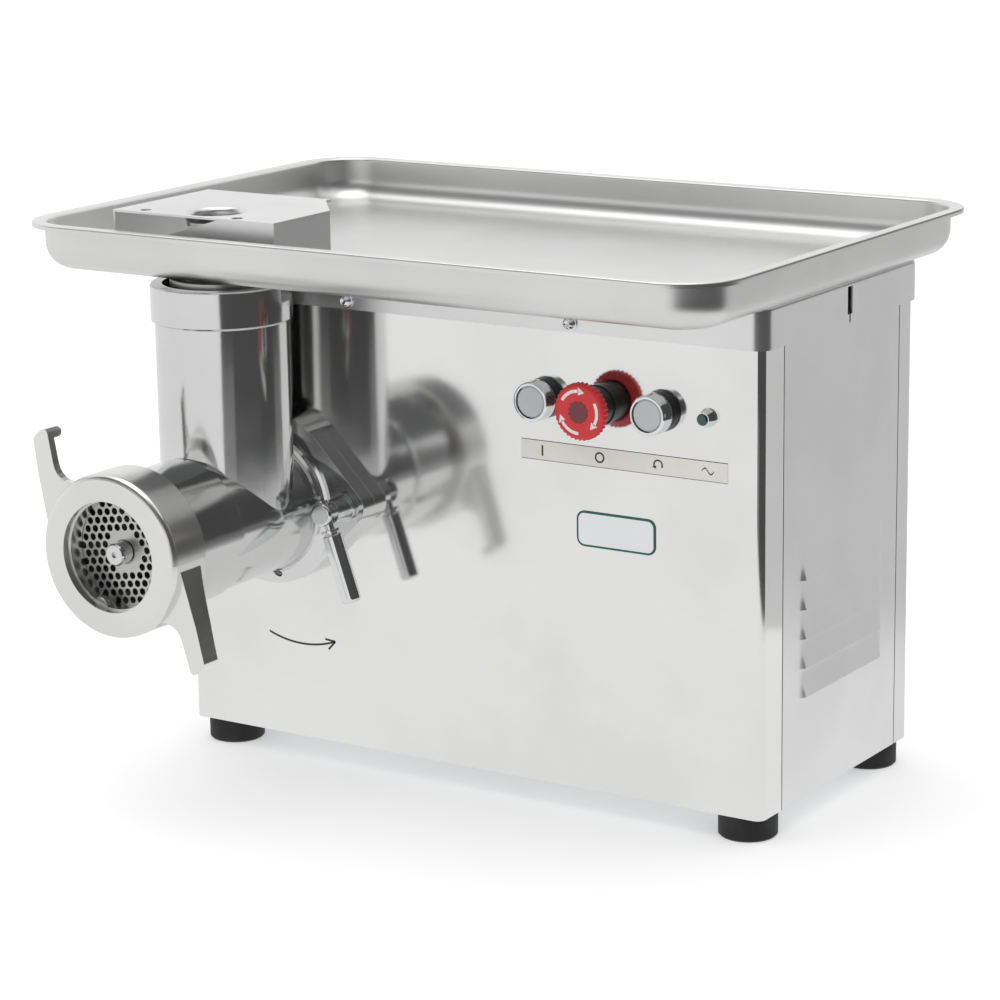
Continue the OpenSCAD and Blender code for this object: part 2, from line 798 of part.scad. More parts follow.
module gear_case() color(cast_grey) on_head() difference() {
    union() {
        difference() {
            union() {
                translate([0, 0, -corner_r]) linear_extrude(corner_r - case_front)
                    case_outline(case_front_inset);
                translate([0, 0, -cover_at]) linear_extrude(cover_at - corner_r + eps) case_outline();
            }
            translate([0, 0, -cover_at - past]) linear_extrude(cover_at - case_front - front_wall + past)
                case_outline(case_wall);
        }
        deep(case_front + 1, out_front_at + out_front_brg[2], out_front_brg[1] + boss_wall);
        translate(mid_at) deep(case_front + 1, mid_front_at + mid_brg[2], mid_brg[1] + boss_wall);
        for (p = stud_places) translate(p) deep(corner_r, stud_deep + 3, stud_r + 4);
    }
    deep(case_front - past, seal_at, spigot_r + slip_fit);
    deep(seal_at - eps, out_front_at, seal_outer);
    deep(out_front_at - eps, out_front_at + out_front_brg[2] + past, out_front_brg[1]);
    translate(mid_at) deep(mid_front_at, mid_front_at + mid_brg[2] + past, mid_brg[1]);
    for (p = stud_places) translate(p) deep(case_front - past, stud_deep, stud_r);
    case_bolt_places() deep(cover_at - case_bolt_grip, cover_at + past, case_bolt_r);
}

module case_bolt_places() {
    mid_wall = case_wall / 2;
    for (a = out_bolt_angles) translate((case_r[0] - mid_wall) * [cos(a), sin(a)]) children();
    for (a = motor_bolt_angles) translate(motor_at + (case_r[2] - mid_wall) * [cos(a), sin(a)]) children();
}

// The cover carries the rear bearings, and the motor is bolted to its back
module gear_case_cover() color(cast_grey) on_head() difference() {
    union() {
        translate([0, 0, -cover_at - cover_t]) linear_extrude(cover_t) {
            case_outline();
            translate(motor_at) circle(motor_r);
        }
        deep(out_rear_at, cover_at + eps, out_rear_brg[1] + boss_wall);
    }
    deep(out_rear_at - past, out_rear_at + out_rear_brg[2] + 2, out_rear_brg[1]);
    translate(mid_at) deep(cover_at - past, cover_at + mid_brg[2], mid_brg[1]);
    translate(motor_at) deep(cover_at - past, motor_front + past, motor_front_brg[0] + 2);
    case_bolt_places() {
        deep(cover_at - past, motor_front + past, case_bolt_r + slip_fit);
        deep(motor_front - bolt_sink, motor_front + past, bolt_head_r + slip_fit);
    }
    shield_bolt_places() deep(cover_at + 2, motor_front + past, case_bolt_r);
}

module case_bolts() color(bright) on_head() {
    case_bolt_places() {
        deep(cover_at - case_bolt_grip, motor_front - bolt_sink + eps, case_bolt_r);
        deep(motor_front - bolt_sink, motor_front - bolt_sink + bolt_head_h, bolt_head_r);
    }
}

// Long screws that hold the motor's shields and frame to the cover
module shield_bolt_places() for (a = [45 : 90 : 315])
    translate(motor_at + (motor_r - frame_t / 2) * [cos(a), sin(a)]) children();

module output_seal() color(dark) on_head() difference() {
    deep(seal_at, out_front_at, seal_outer);
    deep(seal_at - past, out_front_at + past, out_front_brg[0] + run_fit);
}

module output_front_bearing() on_head() bearing(out_front_brg, out_front_at);
module output_rear_bearing() on_head() bearing(out_rear_brg, out_rear_at + 2);
module intermediate_front_bearing() on_head(mid_at) bearing(mid_brg, mid_front_at);
module intermediate_rear_bearing() on_head(mid_at) bearing(mid_brg, cover_at);
module motor_front_bearing() on_head(motor_at) bearing(motor_front_brg, motor_front_at);
module motor_rear_bearing() on_head(motor_at) bearing(motor_rear_brg, motor_rear_at);

module motor_front_shield() color(cast_grey) on_head(motor_at) difference() {
    union() {
        deep(motor_front, frame_at, motor_r);
        deep(frame_at - eps, motor_front_at + motor_front_brg[2] + 1, motor_front_brg[1] + boss_wall);
    }
    deep(motor_front - past, frame_at, motor_front_brg[0] + 2);
    deep(motor_front_at, motor_front_at + motor_front_brg[2] + past, motor_front_brg[1]);
    for (a = [45 : 90 : 315]) rotate([0, 0, a]) translate([motor_r - frame_t / 2, 0])
        deep(motor_front - past, frame_at + past, case_bolt_r + slip_fit);
}

// Ribbed tube that holds the stator
module motor_frame() color(cast_grey) on_head(motor_at) translate([0, 0, -frame_at - motor_len])
    linear_extrude(motor_len) difference() {
        union() {
            circle(motor_r - frame_t / 2);
            for (i = [1 : frame_ribs]) rotate(i * 360 / frame_ribs)
                translate([motor_r - frame_t, -rib_w / 2]) square([frame_t, rib_w]);
        }
        circle(motor_r - frame_t);
    }

// Laminated ring with its winding slots and their mouths
module stator_core() color(bright) on_head(motor_at) translate([0, 0, -core_at - core_len])
    linear_extrude(core_len) difference() {
        circle(motor_r - frame_t);
        circle(rotor_r);
        for (i = [1 : stator_slots]) rotate(i * 360 / stator_slots) {
            translate([rotor_r + tooth_tip, -stator_slot[1] / 2]) square(stator_slot);
            translate([rotor_r - past, -slot_mouth / 2]) square([past + tooth_tip + eps, slot_mouth]);
        }
    }

// Coils in the slots, with their end turns
module stator_windings() color([0.72, 0.38, 0.18]) on_head(motor_at) {
    for (d = [core_at - coil_over, core_at + core_len]) difference() {
        deep(d, d + coil_over, rotor_r + tooth_tip + stator_slot[0]);
        deep(d - past, d + coil_over + past, rotor_r + tooth_tip);
    }
    for (i = [1 : stator_slots]) rotate([0, 0, i * 360 / stator_slots])
        translate([rotor_r + tooth_tip + coil_gap, coil_gap - stator_slot[1] / 2, -core_at - core_len])
            cube([stator_slot[0] - 2 * coil_gap, stator_slot[1] - 2 * coil_gap, core_len]);
}

module motor_rear_shield() color(cast_grey) on_head(motor_at) difference() {
    deep(rear_shield_at, rear_shield_at + rear_shield_t, motor_r);
    deep(rear_shield_at - past, motor_rear_at + motor_rear_brg[2], motor_rear_brg[1]);
    deep(rear_shield_at - past, fan_at + past, motor_rear_brg[0] + 1);
    for (a = [0 : 60 : 300]) rotate([0, 0, a]) translate([(motor_r + motor_rear_brg[1]) / 2, 0])
        deep(rear_shield_at - past, rear_shield_at + rear_shield_t + past, 7);
}

module fan_cover() color(dark) on_head(motor_at) difference() {
    back = rear_shield_at + rear_shield_t + fan_cover_len;
    deep(rear_shield_at + rear_shield_t, back, motor_r);
    deep(rear_shield_at + rear_shield_t - past, back - fan_cover_t, motor_r - fan_cover_t);
    rings = [fan_hole_pitch * 1.5 : fan_hole_pitch : motor_r - fan_hole_pitch];
    for (r = rings, a = [0 : 360 / round(r / 3) : 359]) rotate([0, 0, a]) translate([r, 0])
        deep(back - fan_cover_t - past, back + past, fan_hole_r);
}

// Saddle that carries the motor on the base plate
module motor_cradle() color(cast_grey) {
    axis = head_pos + [motor_at[0], 0, motor_at[1]];
    half = 0.75 * motor_r;
    translate([axis[0], cab_y + cradle_at, 0]) {
        rotate([90, 0, 180]) linear_extrude(cradle_t) difference() {
            translate([-half, floor_z]) square([2 * half, axis[2] - motor_r / 2 - floor_z]);
            translate([0, axis[2]]) circle(motor_r);
        }
        translate([-half, 0, floor_z]) cube([2 * half, cradle_foot, cradle_t]);
    }
}

module run_capacitor() color([0.86, 0.86, 0.84])
    translate([cab_x + cab_w - capacitor_in, cab_y + cab_d - capacitor_back, floor_z]) {
        top = capacitor_h + capacitor_cap_h;
        bar(0, capacitor_h, capacitor_r);
        bar(0, top, capacitor_cap_r);
        for (s = [-1, 1]) translate([(s * capacitor_cap_r - terminal[0]) / 2, -terminal[1] / 2, top - eps])
            cube(terminal);
    }

// Motor contactor on its rail
module contactor() color([0.8, 0.8, 0.78])
    translate([cab_x + cab_w - sheet - contactor_in - rail_len, cab_y + cab_d - rail_back, floor_z]) {
        cube([rail_len, rail_w, rail_t]);
        for (y = [0, rail_w - rail_t]) translate([0, y, 0]) cube([rail_len, rail_t, rail_h]);
        translate([(rail_len - contactor_w) / 2, (rail_w - contactor_d) / 2, rail_h]) {
            cube([contactor_w, contactor_d, contactor_low]);
            translate([contactor_step[0], contactor_step[1], contactor_low - eps])
                cube([contactor_w - 2 * contactor_step[0], contactor_d - 2 * contactor_step[1],
                    contactor_h - contactor_low]);
        }
    }

// ---------- controls, fixed pieces ----------

// Chrome bezel with its barrel through the collar and the panel, and the lock ring behind
module button_bezels() color(bright) for (x = [start_x, reverse_x]) on_front(x, control_z) difference() {
    union() {
        rotate_extrude() polygon(concat([[0, collar_t], [bezel_r, collar_t], [bezel_r, collar_t + bezel_lip]],
            arc([bezel_r - bezel_draft - bezel_lip, bezel_out - bezel_lip], bezel_lip, 0, 90, 5),
            [[0, bezel_out]]));
        bar(-block_at, collar_t + eps, control_hole);
        bar(-sheet - ring_t, -sheet, bezel_r);
    }
    bar(cap_floor, bezel_out + past, cap_r + free_gap);
    bar(-block_at - past, bezel_out, stem_r + free_gap);
}

// Black ribbed collars between the panel and the chrome bezels
module button_collars() color(dark) for (x = [start_x, reverse_x]) on_front(x, control_z) difference() {
    union() {
        bar(0, collar_t, bezel_r - 1.2);
        rib = collar_t / collar_ribs;
        for (i = [0 : collar_ribs - 1]) bar(i * rib, (i + 0.7) * rib, bezel_r - 0.3);
    }
    bar(-past, collar_t + past, control_hole + slip_fit);
}

module stop_button_collar() color(dark) on_front(stop_x, control_z) difference() {
    union() {
        bar(0, 3, bezel_r);
        bar(0, stop_back, stop_neck_r);
        bar(-block_at, eps, control_hole);
        bar(-sheet - ring_t, -sheet, bezel_r);
    }
    bar(-block_at - past, stop_back + past, stem_r + free_gap);
}

module contact_blocks() color([0.16, 0.3, 0.2])
    for (x = [start_x, stop_x, reverse_x]) on_front(x, control_z) difference() {
        translate([-block_w / 2, -block_h / 2, -block_at - block_d]) cube([block_w, block_h, block_d]);
        bar(-block_at - stem_in - stop_press - 2, -block_at + past, stem_r + free_gap);
    }

module lamp_bezel() color(bright) on_front(lamp_x, control_z) difference() {
    union() {
        rotate_extrude() polygon([[0, 0], [lamp_r, 0], [lamp_r, lamp_base], [lamp_r - lamp_draft, lamp_out],
            [0, lamp_out]]);
        bar(-lamp_inside, eps, lens_r);
        bar(-sheet - ring_t, -sheet, lamp_r);
    }
    bar(lamp_base, lamp_out + past, lens_r - lens_lip);
}

module lamp_lens() color([0.05, 0.35, 0.2]) on_front(lamp_x, control_z) rotate_extrude()
    polygon(concat([[0, lamp_base], [lens_r - lens_lip, lamp_base]],
        arc([lens_r - lens_lip - lens_dome, lamp_out], lens_dome, 0, 90, 4), [[0, lamp_out + lens_dome]]));

// ---------- grinding head ----------

module flange_outline() for (s = [-1, 1])
    link([0, flange_up], flange_r, [s * (lug_tip - lug_r), flange_up], lug_r);

// Barrel, neck, flange and spigot, cast in one piece
module head_casting() color(bright) on_head() difference() {
    union() {
        bar(-spigot_len, eps, spigot_r);
        linear_extrude(flange_t) flange_outline();
        rotate_extrude() polygon(concat([[0, 0], [barrel_r + foot_fillet, 0]],
            [[barrel_r + foot_fillet, flange_t]],
            arc([barrel_r + foot_fillet, flange_t + foot_fillet], foot_fillet, -90, -180, 6),
            [[barrel_r, collar_back], [thread_r, collar_back + thread_lead],
                [thread_r, barrel_end - thread_lead], [thread_r - thread_lead, barrel_end], [0, barrel_end]]));
        translate([0, 0, neck_out]) rotate([-90, 0, 0]) {
            cylinder(h = neck_top - eps, r = neck_r);
            translate([0, 0, neck_top - collar_h]) rotate_extrude() polygon([[0, 0], [neck_r, 0],
                [collar_r, 1.5], [collar_r, collar_h - 1], [collar_r - 1, collar_h], [0, collar_h]]);
        }
    }
    bar(back_wall, barrel_end + past, auger_bore);
    bar(recess_back, barrel_end + past, recess_r);
    bar(-spigot_len - past, back_wall + past, journal_r + run_fit);
    translate([0, 0, neck_out]) rotate([-90, 0, 0]) {
        translate([0, 0, neck_bore_from]) cylinder(h = neck_top, r = neck_bore);
        translate([0, 0, neck_top - notch_h]) rotate([0, 0, notch_from])
            rotate_extrude(angle = notch_to - notch_from)
                translate([neck_bore - 1, 0]) square([collar_r - neck_bore + 2, notch_h + past]);
    }
    for (p = stud_places) translate(p) bar(-past, flange_t + past, stud_r + slip_fit);
    translate(drain) bar(flange_t - drain_deep, flange_t + foot_fillet + past, drain_r);
    rotate([0, 0, key_angle]) translate([recess_r, 0]) bar(recess_back + 4, barrel_end + past, key_r);
}

module head_studs() color(bright) on_head() for (p = stud_places) translate(p)
    bar(-stud_deep, stud_end, stud_r);

// Hexagonal field of holes between the boss and the nut's mouth
module perforated_plate() color(steel) on_head() difference() {
    bar(plate_back, plate_front, plate_r);
    bar(plate_back - past, plate_front + past, pin_r + run_fit);
    bar(plate_front - 2, plate_front + past, pin_r + 0.8);
    rows = ceil(nut_mouth / hole_pitch) + 1;
    for (i = [-rows : rows], j = [-rows : rows])
        let (p = hole_pitch * [i + j / 2, j * sin(60)])
            if (norm(p) > plate_boss + hole_d / 2 && norm(p) < nut_mouth + 1.5 - hole_d / 2)
                rotate([0, 0, plate_turn]) translate(p)
                    bar(plate_back - past, plate_front + past, hole_d / 2);
    rotate([0, 0, key_angle]) translate([recess_r, 0])
        bar(plate_back - past, plate_front + past, key_r + slip_fit);
}

module plate_key() color(bright) on_head() rotate([0, 0, key_angle]) translate([recess_r, 0])
    bar(recess_back + 4, barrel_end, key_r);

module thrust_washer() color([0.85, 0.82, 0.74]) on_head() difference() {
    bar(back_wall, back_wall + washer_face, auger_bore - 4);
    bar(back_wall - past, back_wall + washer_face + past, journal_r + free_gap);
}

// ---------- turning pieces of the drive ----------

module gear(m, n, d0, d1, bore, turn) rotate([0, 0, turn]) translate([0, 0, -d1])
    linear_extrude(d1 - d0) difference() {
        polygon(gear_points(m, n, backlash));
        circle(bore);
    }

module output_shaft() color(bright) on_head() difference() {
    union() {
        deep(seal_at, out_gear_at, out_front_brg[0]);
        deep(out_gear_at - 1, out_rear_at - 1, out_front_brg[0] + 3);
        deep(out_rear_at - 2, out_rear_at + 2 + out_rear_brg[2] - 1, out_rear_brg[0]);
    }
    translate([-tang / 2 - slip_fit, -tang / 2 - slip_fit, -seal_at - tang_len - 3])
        cube([tang + 2 * slip_fit, tang + 2 * slip_fit, tang_len + 3 + past]);
}

module output_gear() color(bright) on_head() difference() {
    gear(out_module, out_teeth, out_gear_at, out_gear_at + out_face, out_front_brg[0] + 3, out_angle);
    for (d = [out_gear_at - past, out_gear_at + out_face - gear_recess]) difference() {
        deep(d, d + gear_recess + past, out_r - 3 * out_module);
        deep(d - past, d + gear_recess + 2 * past, out_front_brg[0] + 10);
    }
}

// Intermediate shaft with the pinion cut on it
module intermediate_shaft() color(bright) on_head(mid_at) {
    deep(mid_front_at, cover_at + mid_brg[2] - 1, mid_brg[0]);
    gear(out_module, mid_pinion_teeth, out_gear_at - 1, out_gear_at + out_face + 1, mid_brg[0] - eps,
        out_angle + 180 + 180 / mid_pinion_teeth);
    deep(out_gear_at + out_face, mid_gear_at + mid_face + 1, mid_brg[0] + 3);
}

module intermediate_gear() color(bright) on_head(mid_at) difference() {
    gear(motor_module, mid_teeth, mid_gear_at, mid_gear_at + mid_face, mid_brg[0] + 3, motor_angle);
    for (a = [0 : 60 : 300]) rotate([0, 0, a]) translate([(mid_r + mid_brg[0]) / 2, 0])
        deep(mid_gear_at - past, mid_gear_at + mid_face + past, 6);
}

// Motor shaft with the pinion cut on it
module motor_shaft() color(bright) on_head(motor_at) {
    deep(mid_gear_at - 1, motor_rear_at, motor_front_brg[0]);
    deep(motor_rear_at - 1, fan_at + fan_t, motor_rear_brg[0]);
    gear(motor_module, motor_teeth, mid_gear_at - 1, mid_gear_at + mid_face + 1, motor_front_brg[0] - eps,
        motor_angle + 180 + 180 / motor_teeth);
}

module rotor_core() color([0.45, 0.46, 0.48]) on_head(motor_at) difference() {
    union() {
        deep(core_at, core_at + core_len, rotor_r - air_gap);
        deep(core_at - 5, core_at + core_len + 5, rotor_r - 8);
    }
    deep(core_at - 6, core_at + core_len + 6, motor_front_brg[0]);
}

module cooling_fan() color([0.9, 0.9, 0.88]) on_head(motor_at) difference() {
    union() {
        deep(fan_at, fan_at + fan_t, fan_hub);
        deep(fan_at, fan_at + fan_disc, fan_r);
        for (i = [0 : fan_blades - 1]) rotate([0, 0, i * 360 / fan_blades])
            translate([fan_hub - 1, -fan_blade / 2, -fan_at - fan_t])
                cube([fan_r - fan_hub, fan_blade, fan_t]);
    }
    deep(fan_at - past, fan_at + fan_t + past, motor_rear_brg[0]);
}

// Screw flight, its face swept back to the core on the feed side
module auger() color(bright) on_head() {
    flight = [for (i = [0 : 8]) let (t = i / 4 - 1, a = flight_half * t, f = 1 - pow(abs(t), 3))
        (auger_core + (auger_r - auger_core) * f) * [cos(a), sin(a)]];
    translate([-tang / 2, -tang / 2, -spigot_len - tang_len]) cube([tang, tang, tang_len + eps]);
    bar(-spigot_len, auger_back + eps, journal_r);
    translate([0, 0, auger_back])
        linear_extrude(knife_back - auger_back, twist = -360 * flight_turns, slices = flight_steps,
            segments = 1) polygon(concat(flight, arc([0, 0], auger_core, 75, 285, 10)));
    translate([-knife_square / 2, -knife_square / 2, knife_back - eps])
        cube([knife_square, knife_square, knife_t]);
    bar(knife_front - 1, pin_end - 1.5, pin_r);
    translate([0, 0, pin_end - 1.5]) difference() {
        cylinder(h = 1.5, r1 = pin_r, r2 = pin_r - 1);
        translate([0, 0, -past]) cylinder(h = 1.5 + 2 * past, r = 2);
    }
}

// Four-armed knife, each cutting edge swept to the front face
module knife() color(bright) on_head() translate([0, 0, knife_back]) linear_extrude(knife_t) difference() {
    union() {
        circle(knife_square);
        for (a = [0 : 90 : 270]) rotate(a) polygon(concat([[0, -9], [knife_square, -8]],
            arc([0, 0], knife_r, -8, 9, 4), [[knife_square, 3], [0, 9]]));
    }
    square(knife_square + 2 * slip_fit, center = true);
}

// ---------- pieces worked by hand ----------

module start_button() color([0.7, 0.72, 0.73]) on_front(start_x, control_z) button_cap();
module reverse_button() color([0.7, 0.72, 0.73]) on_front(reverse_x, control_z) button_cap();

module button_cap() {
    back = cap_front - cap_t;
    rotate_extrude() polygon([[0, back], [cap_r, back], [cap_r, cap_front - 1], [cap_r - 1, cap_front],
        [0, cap_front]]);
    bar(-block_at - stem_in, back + eps, stem_r);
}

// Mushroom head, hollow behind so that it slides over its neck
module stop_button() color([0.8, 0.08, 0.1]) on_front(stop_x, control_z) {
    rim_r = stop_r - 1;
    edge = stop_out - stop_rim[1];
    difference() {
        union() {
            rotate_extrude() polygon(concat([[0, stop_back], [stop_hollow_r + 0.9, stop_back],
                [rim_r, stop_rim[0]]], arc([rim_r - edge, stop_rim[1]], edge, 0, 90, 5), [[0, stop_out]]));
            for (i = [1 : stop_ribs]) rotate([0, 0, i * 360 / stop_ribs])
                translate([stop_r - 1.3, 0, 0]) bar(stop_rim[0] - 0.5, stop_rim[1] + 0.5, 1);
        }
        bar(stop_back - past, stop_back + stop_press + 0.6, stop_hollow_r);
    }
    bar(-block_at - stem_in, stop_back + stop_press + 1, stem_r);
}

module ring_nut() color(steel) on_head() {
    step_at = head_reach - mouth_deep;
    difference() {
        union() {
            rotate_extrude() polygon(concat([[0, nut_back], [nut_r - 1.5, nut_back], [nut_r, nut_back + 1.5]],
                arc([nut_r - nut_round, head_reach - nut_round], nut_round, 0, 90, 6), [[0, head_reach]]));
            for (a = arm_angles) rotate([0, 0, a]) nut_arm();
        }
        bar(nut_back - past, lip_face, thread_r + run_fit);
        bar(lip_face - eps, head_reach + past, nut_mouth);
        bar(step_at, head_reach + past, nut_mouth + mouth_step);
    }
    // Half-round tab inside the mouth
    intersection() {
        bar(step_at - tab_t, step_at - 0.3, nut_mouth + 0.5);
        rotate([0, 0, tab_angle]) translate([nut_mouth + 1, 0, 0]) bar(step_at - tab_t, step_at - 0.3, tab_r);
    }
}

// Cast arm that runs down beside the ring: a front web, a turned-back outer wall and a closed end
module nut_arm() {
    out = nut_r - 4;
    inner = out - 1.5 - arm_w;
    tip = -sqrt(pow(arm_reach, 2) - pow(out, 2));
    bow = 14;
    bow_y = tip + 20;
    front = head_reach - 7;
    web_back = front - arm_web;
    root = front - nut_back - 2;
    outline = concat([[0, -40], [0, 0], [out, 0], [out, tip + 26], [out - 1.5, tip + 1], [out - 4, tip - 1.5],
        [inner + 5, tip - 4.5], [inner + 1.5, tip - 4.5], [inner, tip - 2]],
        arc([inner - bow, bow_y], bow, 0, 90, 6), [[inner - bow - 4, bow_y + bow + 7]]);
    wall = [for (i = [0 : 8]) let (t = i / 8)
        [tip * t, front - arm_deep - (root - arm_deep) * pow(1 - t, 2)]];
    translate([0, 0, web_back]) linear_extrude(arm_web) polygon(outline);
    intersection() {
        translate([0, 0, nut_back]) linear_extrude(front - nut_back - 1) polygon(outline);
        union() {
            translate([out - arm_wall, 0, 0]) rotate([90, 0, 90]) linear_extrude(arm_wall)
                polygon(concat(wall, [[tip - 5, front - arm_deep + 4], [tip - 5, web_back + eps],
                    [0, web_back + eps]]));
            translate([inner - 1, 0, 0]) rotate([90, 0, 90]) linear_extrude(out - inner - arm_wall + 2)
                polygon(concat([[tip + 2.5, web_back + eps]],
                    arc([tip - 1.3, front - arm_deep + 4.1], 3.8, 0, -180, 8),
                    [[tip - 5.1, web_back + eps]]));
        }
    }
}

// Clamp nut with its tommy bar, hanging at the given lean
module clamp(side) on_head([side * clamp_x, flange_up]) {
    difference() {
        rotate_extrude() polygon(concat([[0, clamp_back], [clamp_foot_r, clamp_back],
            [clamp_foot_r, clamp_back + clamp_foot_t], [clamp_r, clamp_back + clamp_foot_t],
            [clamp_r, bar_at - groove_half], [groove_r, bar_at - groove_half],
            [groove_r, bar_at + groove_half], [clamp_r, bar_at + groove_half]],
            arc([clamp_r - clamp_dome, clamp_front - clamp_dome], clamp_dome, 0, 90, 5), [[0, clamp_front]]));
        bar(clamp_back - past, stud_end + free_gap, stud_r + run_fit);
    }
    translate([0, 0, bar_at]) rotate([0, 0, side * bar_lean]) rotate([90, 0, 0]) rotate_extrude()
        polygon(concat([[0, -bar_top], [bar_r + 1, -bar_top], [bar_r + 1, bar_end_t - bar_top],
            [bar_r, bar_end_t - bar_top], [bar_r, bar_ring_at], [grip_r, bar_ring_at],
            [grip_r, bar_ring_at + bar_ring_t], [bar_r + 1.5, bar_ring_at + bar_ring_t],
            [bar_r + 1.5, grip_from], [grip_r - 1, grip_from], [grip_r, grip_from + 1]],
            arc([grip_r - 3, bar_len - 3], 3, 0, 90, 5), [[0, bar_len]]));
}

module left_clamp() color(steel) clamp(-1);
module right_clamp() color(steel) clamp(1);

// ---------- tray ----------

// Pressed tray with a rolled rim and a spout that drops into the neck
module feed_tray() color(steel) {
    hole = [head_pos[0], cab_y - neck_out];
    difference() {
        translate([tray_x, tray_y, tray_z]) {
            swept_edge(tray_w, tray_d, rim_corner) tray_profile();
            m = rim_corner - wall_r + tray_bend - eps;
            translate([m, m, 0]) linear_extrude(tray_t)
                round_rect(tray_w - 2 * m, tray_d - 2 * m, wall_r - tray_bend + eps);
        }
        translate([hole[0], hole[1], tray_z - past]) cylinder(h = tray_t + 2 * past, r = spout_r - tray_t);
    }
    translate([hole[0], hole[1], tray_z - tray_gap - spout_len]) difference() {
        cylinder(h = spout_len + tray_gap + eps, r = spout_r);
        translate([0, 0, -past]) cylinder(h = spout_len + tray_gap + 2 * past, r = spout_r - tray_t);
    }
}

module tray_profile() polygon(concat(
    arc([wall_r - tray_bend, tray_bend], tray_bend, -90, 0, 6),
    [[wall_r, tray_h - tray_t], [rim_corner - tray_t, tray_h - tray_t],
        [rim_corner - tray_t, tray_h - rim_drop],
        [rim_corner, tray_h - rim_drop], [rim_corner, tray_h], [wall_r - tray_t, tray_h]],
    arc([wall_r - tray_bend, tray_bend], tray_bend - tray_t, 0, -90, 6)));

// Folded guard over the feed hole, open at the back
module tray_guard() color(steel) translate([guard_x, guard_y, 0]) {
    foot_z = tray_z + tray_t;
    h = guard_top - foot_z;
    side_w = guard_w - guard_chamfer[0];
    lip_r = pusher_r + pusher_lip;
    hole = [head_pos[0] - guard_x, pusher_back, guard_top];
    difference() {
        union() {
            translate([0, 0, guard_top - guard_t]) linear_extrude(guard_t) polygon([[0, 0], [guard_w, 0],
                [guard_w, guard_flange], [side_w, guard_flange + guard_chamfer[1]], [side_w, guard_d],
                [0, guard_d]]);
            translate(hole) rotate_extrude() polygon([[0, 0], [lip_r, 0], [lip_r, -guard_t],
                [pusher_r + guard_t, -pusher_lip - guard_t], [pusher_r + guard_t, -pusher_drop],
                [0, -pusher_drop]]);
        }
        translate(hole) rotate_extrude() polygon(concat([[0, past], [lip_r, past]],
            arc([lip_r, -pusher_lip], pusher_lip, 90, 180, 6),
            [[pusher_r, -pusher_drop - past], [0, -pusher_drop - past]]));
        for (p = rivet_holes) translate(p) bar(guard_top - guard_t - past, guard_top + past, rivet_hole_r);
    }
    translate([guard_w - guard_t, 0, foot_z]) cube([guard_t, guard_flange, h - eps]);
    translate([0, 0, foot_z]) cube([guard_t, guard_d, h - eps]);
    translate([0, guard_t, 0]) rotate([90, 0, 0]) linear_extrude(guard_t)
        polygon([[0, foot_z], [guard_w, foot_z], [guard_w, guard_top - eps],
            [guard_w - guard_slope_x, guard_top - eps], [0, guard_top - guard_slope_z]]);
}

// ---------- assembly ----------

front_panel();
left_side_panel();
right_side_panel();
rear_panel();
base_plate();
lid();
lid_screws();
foot(0);  // front_left_foot
foot(1);  // front_right_foot
foot(2);  // rear_left_foot
foot(3);  // rear_right_foot
foot_bolts();
cable_gland();
gear_case();
gear_case_cover();
case_bolts();
output_seal();
output_front_bearing();
output_rear_bearing();
intermediate_front_bearing();
intermediate_rear_bearing();
motor_front_shield();
motor_frame();
stator_core();
stator_windings();
motor_rear_shield();
motor_front_bearing();
motor_rear_bearing();
fan_cover();
motor_cradle();
run_capacitor();
contactor();
button_bezels();
button_collars();
stop_button_collar();
contact_blocks();
lamp_bezel();
lamp_lens();
head_casting();
head_studs();
perforated_plate();
plate_key();
thrust_washer();
output_shaft();
output_gear();
auger();
knife();
intermediate_shaft();
intermediate_gear();
rotor_core();
motor_shaft();
cooling_fan();
start_button();
reverse_button();
stop_button();
ring_nut();
left_clamp();
right_clamp();
feed_tray();
tray_guard();
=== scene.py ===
import json
import math

import bmesh
import bpy
from mathutils import Matrix, Vector


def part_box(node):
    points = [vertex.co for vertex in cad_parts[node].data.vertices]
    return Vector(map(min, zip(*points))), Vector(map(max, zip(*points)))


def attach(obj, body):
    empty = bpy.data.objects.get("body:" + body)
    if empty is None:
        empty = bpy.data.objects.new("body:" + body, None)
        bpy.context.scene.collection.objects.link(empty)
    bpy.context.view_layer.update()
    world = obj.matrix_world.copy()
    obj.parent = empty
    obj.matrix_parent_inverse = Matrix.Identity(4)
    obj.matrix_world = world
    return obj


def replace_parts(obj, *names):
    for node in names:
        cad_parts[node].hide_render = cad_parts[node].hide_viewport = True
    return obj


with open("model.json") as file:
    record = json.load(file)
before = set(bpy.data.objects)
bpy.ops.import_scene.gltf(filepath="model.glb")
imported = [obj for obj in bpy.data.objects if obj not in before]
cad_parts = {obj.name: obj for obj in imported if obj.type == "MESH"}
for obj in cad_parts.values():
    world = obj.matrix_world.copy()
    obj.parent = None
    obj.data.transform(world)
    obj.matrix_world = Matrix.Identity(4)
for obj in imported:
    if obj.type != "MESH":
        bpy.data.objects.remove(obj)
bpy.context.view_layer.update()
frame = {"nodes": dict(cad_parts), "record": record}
RECORD = frame["record"]
NODES = frame["nodes"]
MM = 0.001


# ---------- places taken from the frame ----------

PANEL_LOW, PANEL_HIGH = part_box("front_panel")
FRONT_Y = PANEL_LOW.y


def middle(node):
    """Centre of a node's box."""
    low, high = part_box(node)
    return (low + high) / 2


NECK_IN = 84 * MM
NECK_OUT = 59 * MM
NECK = (PANEL_LOW.x + NECK_IN, FRONT_Y - NECK_OUT)
HEAD_Z = middle("perforated_plate").z
START = middle("start_button")
REVERSE = middle("reverse_button")
STOP = middle("stop_button")
LAMP = middle("lamp_lens")


# ---------- camera ----------

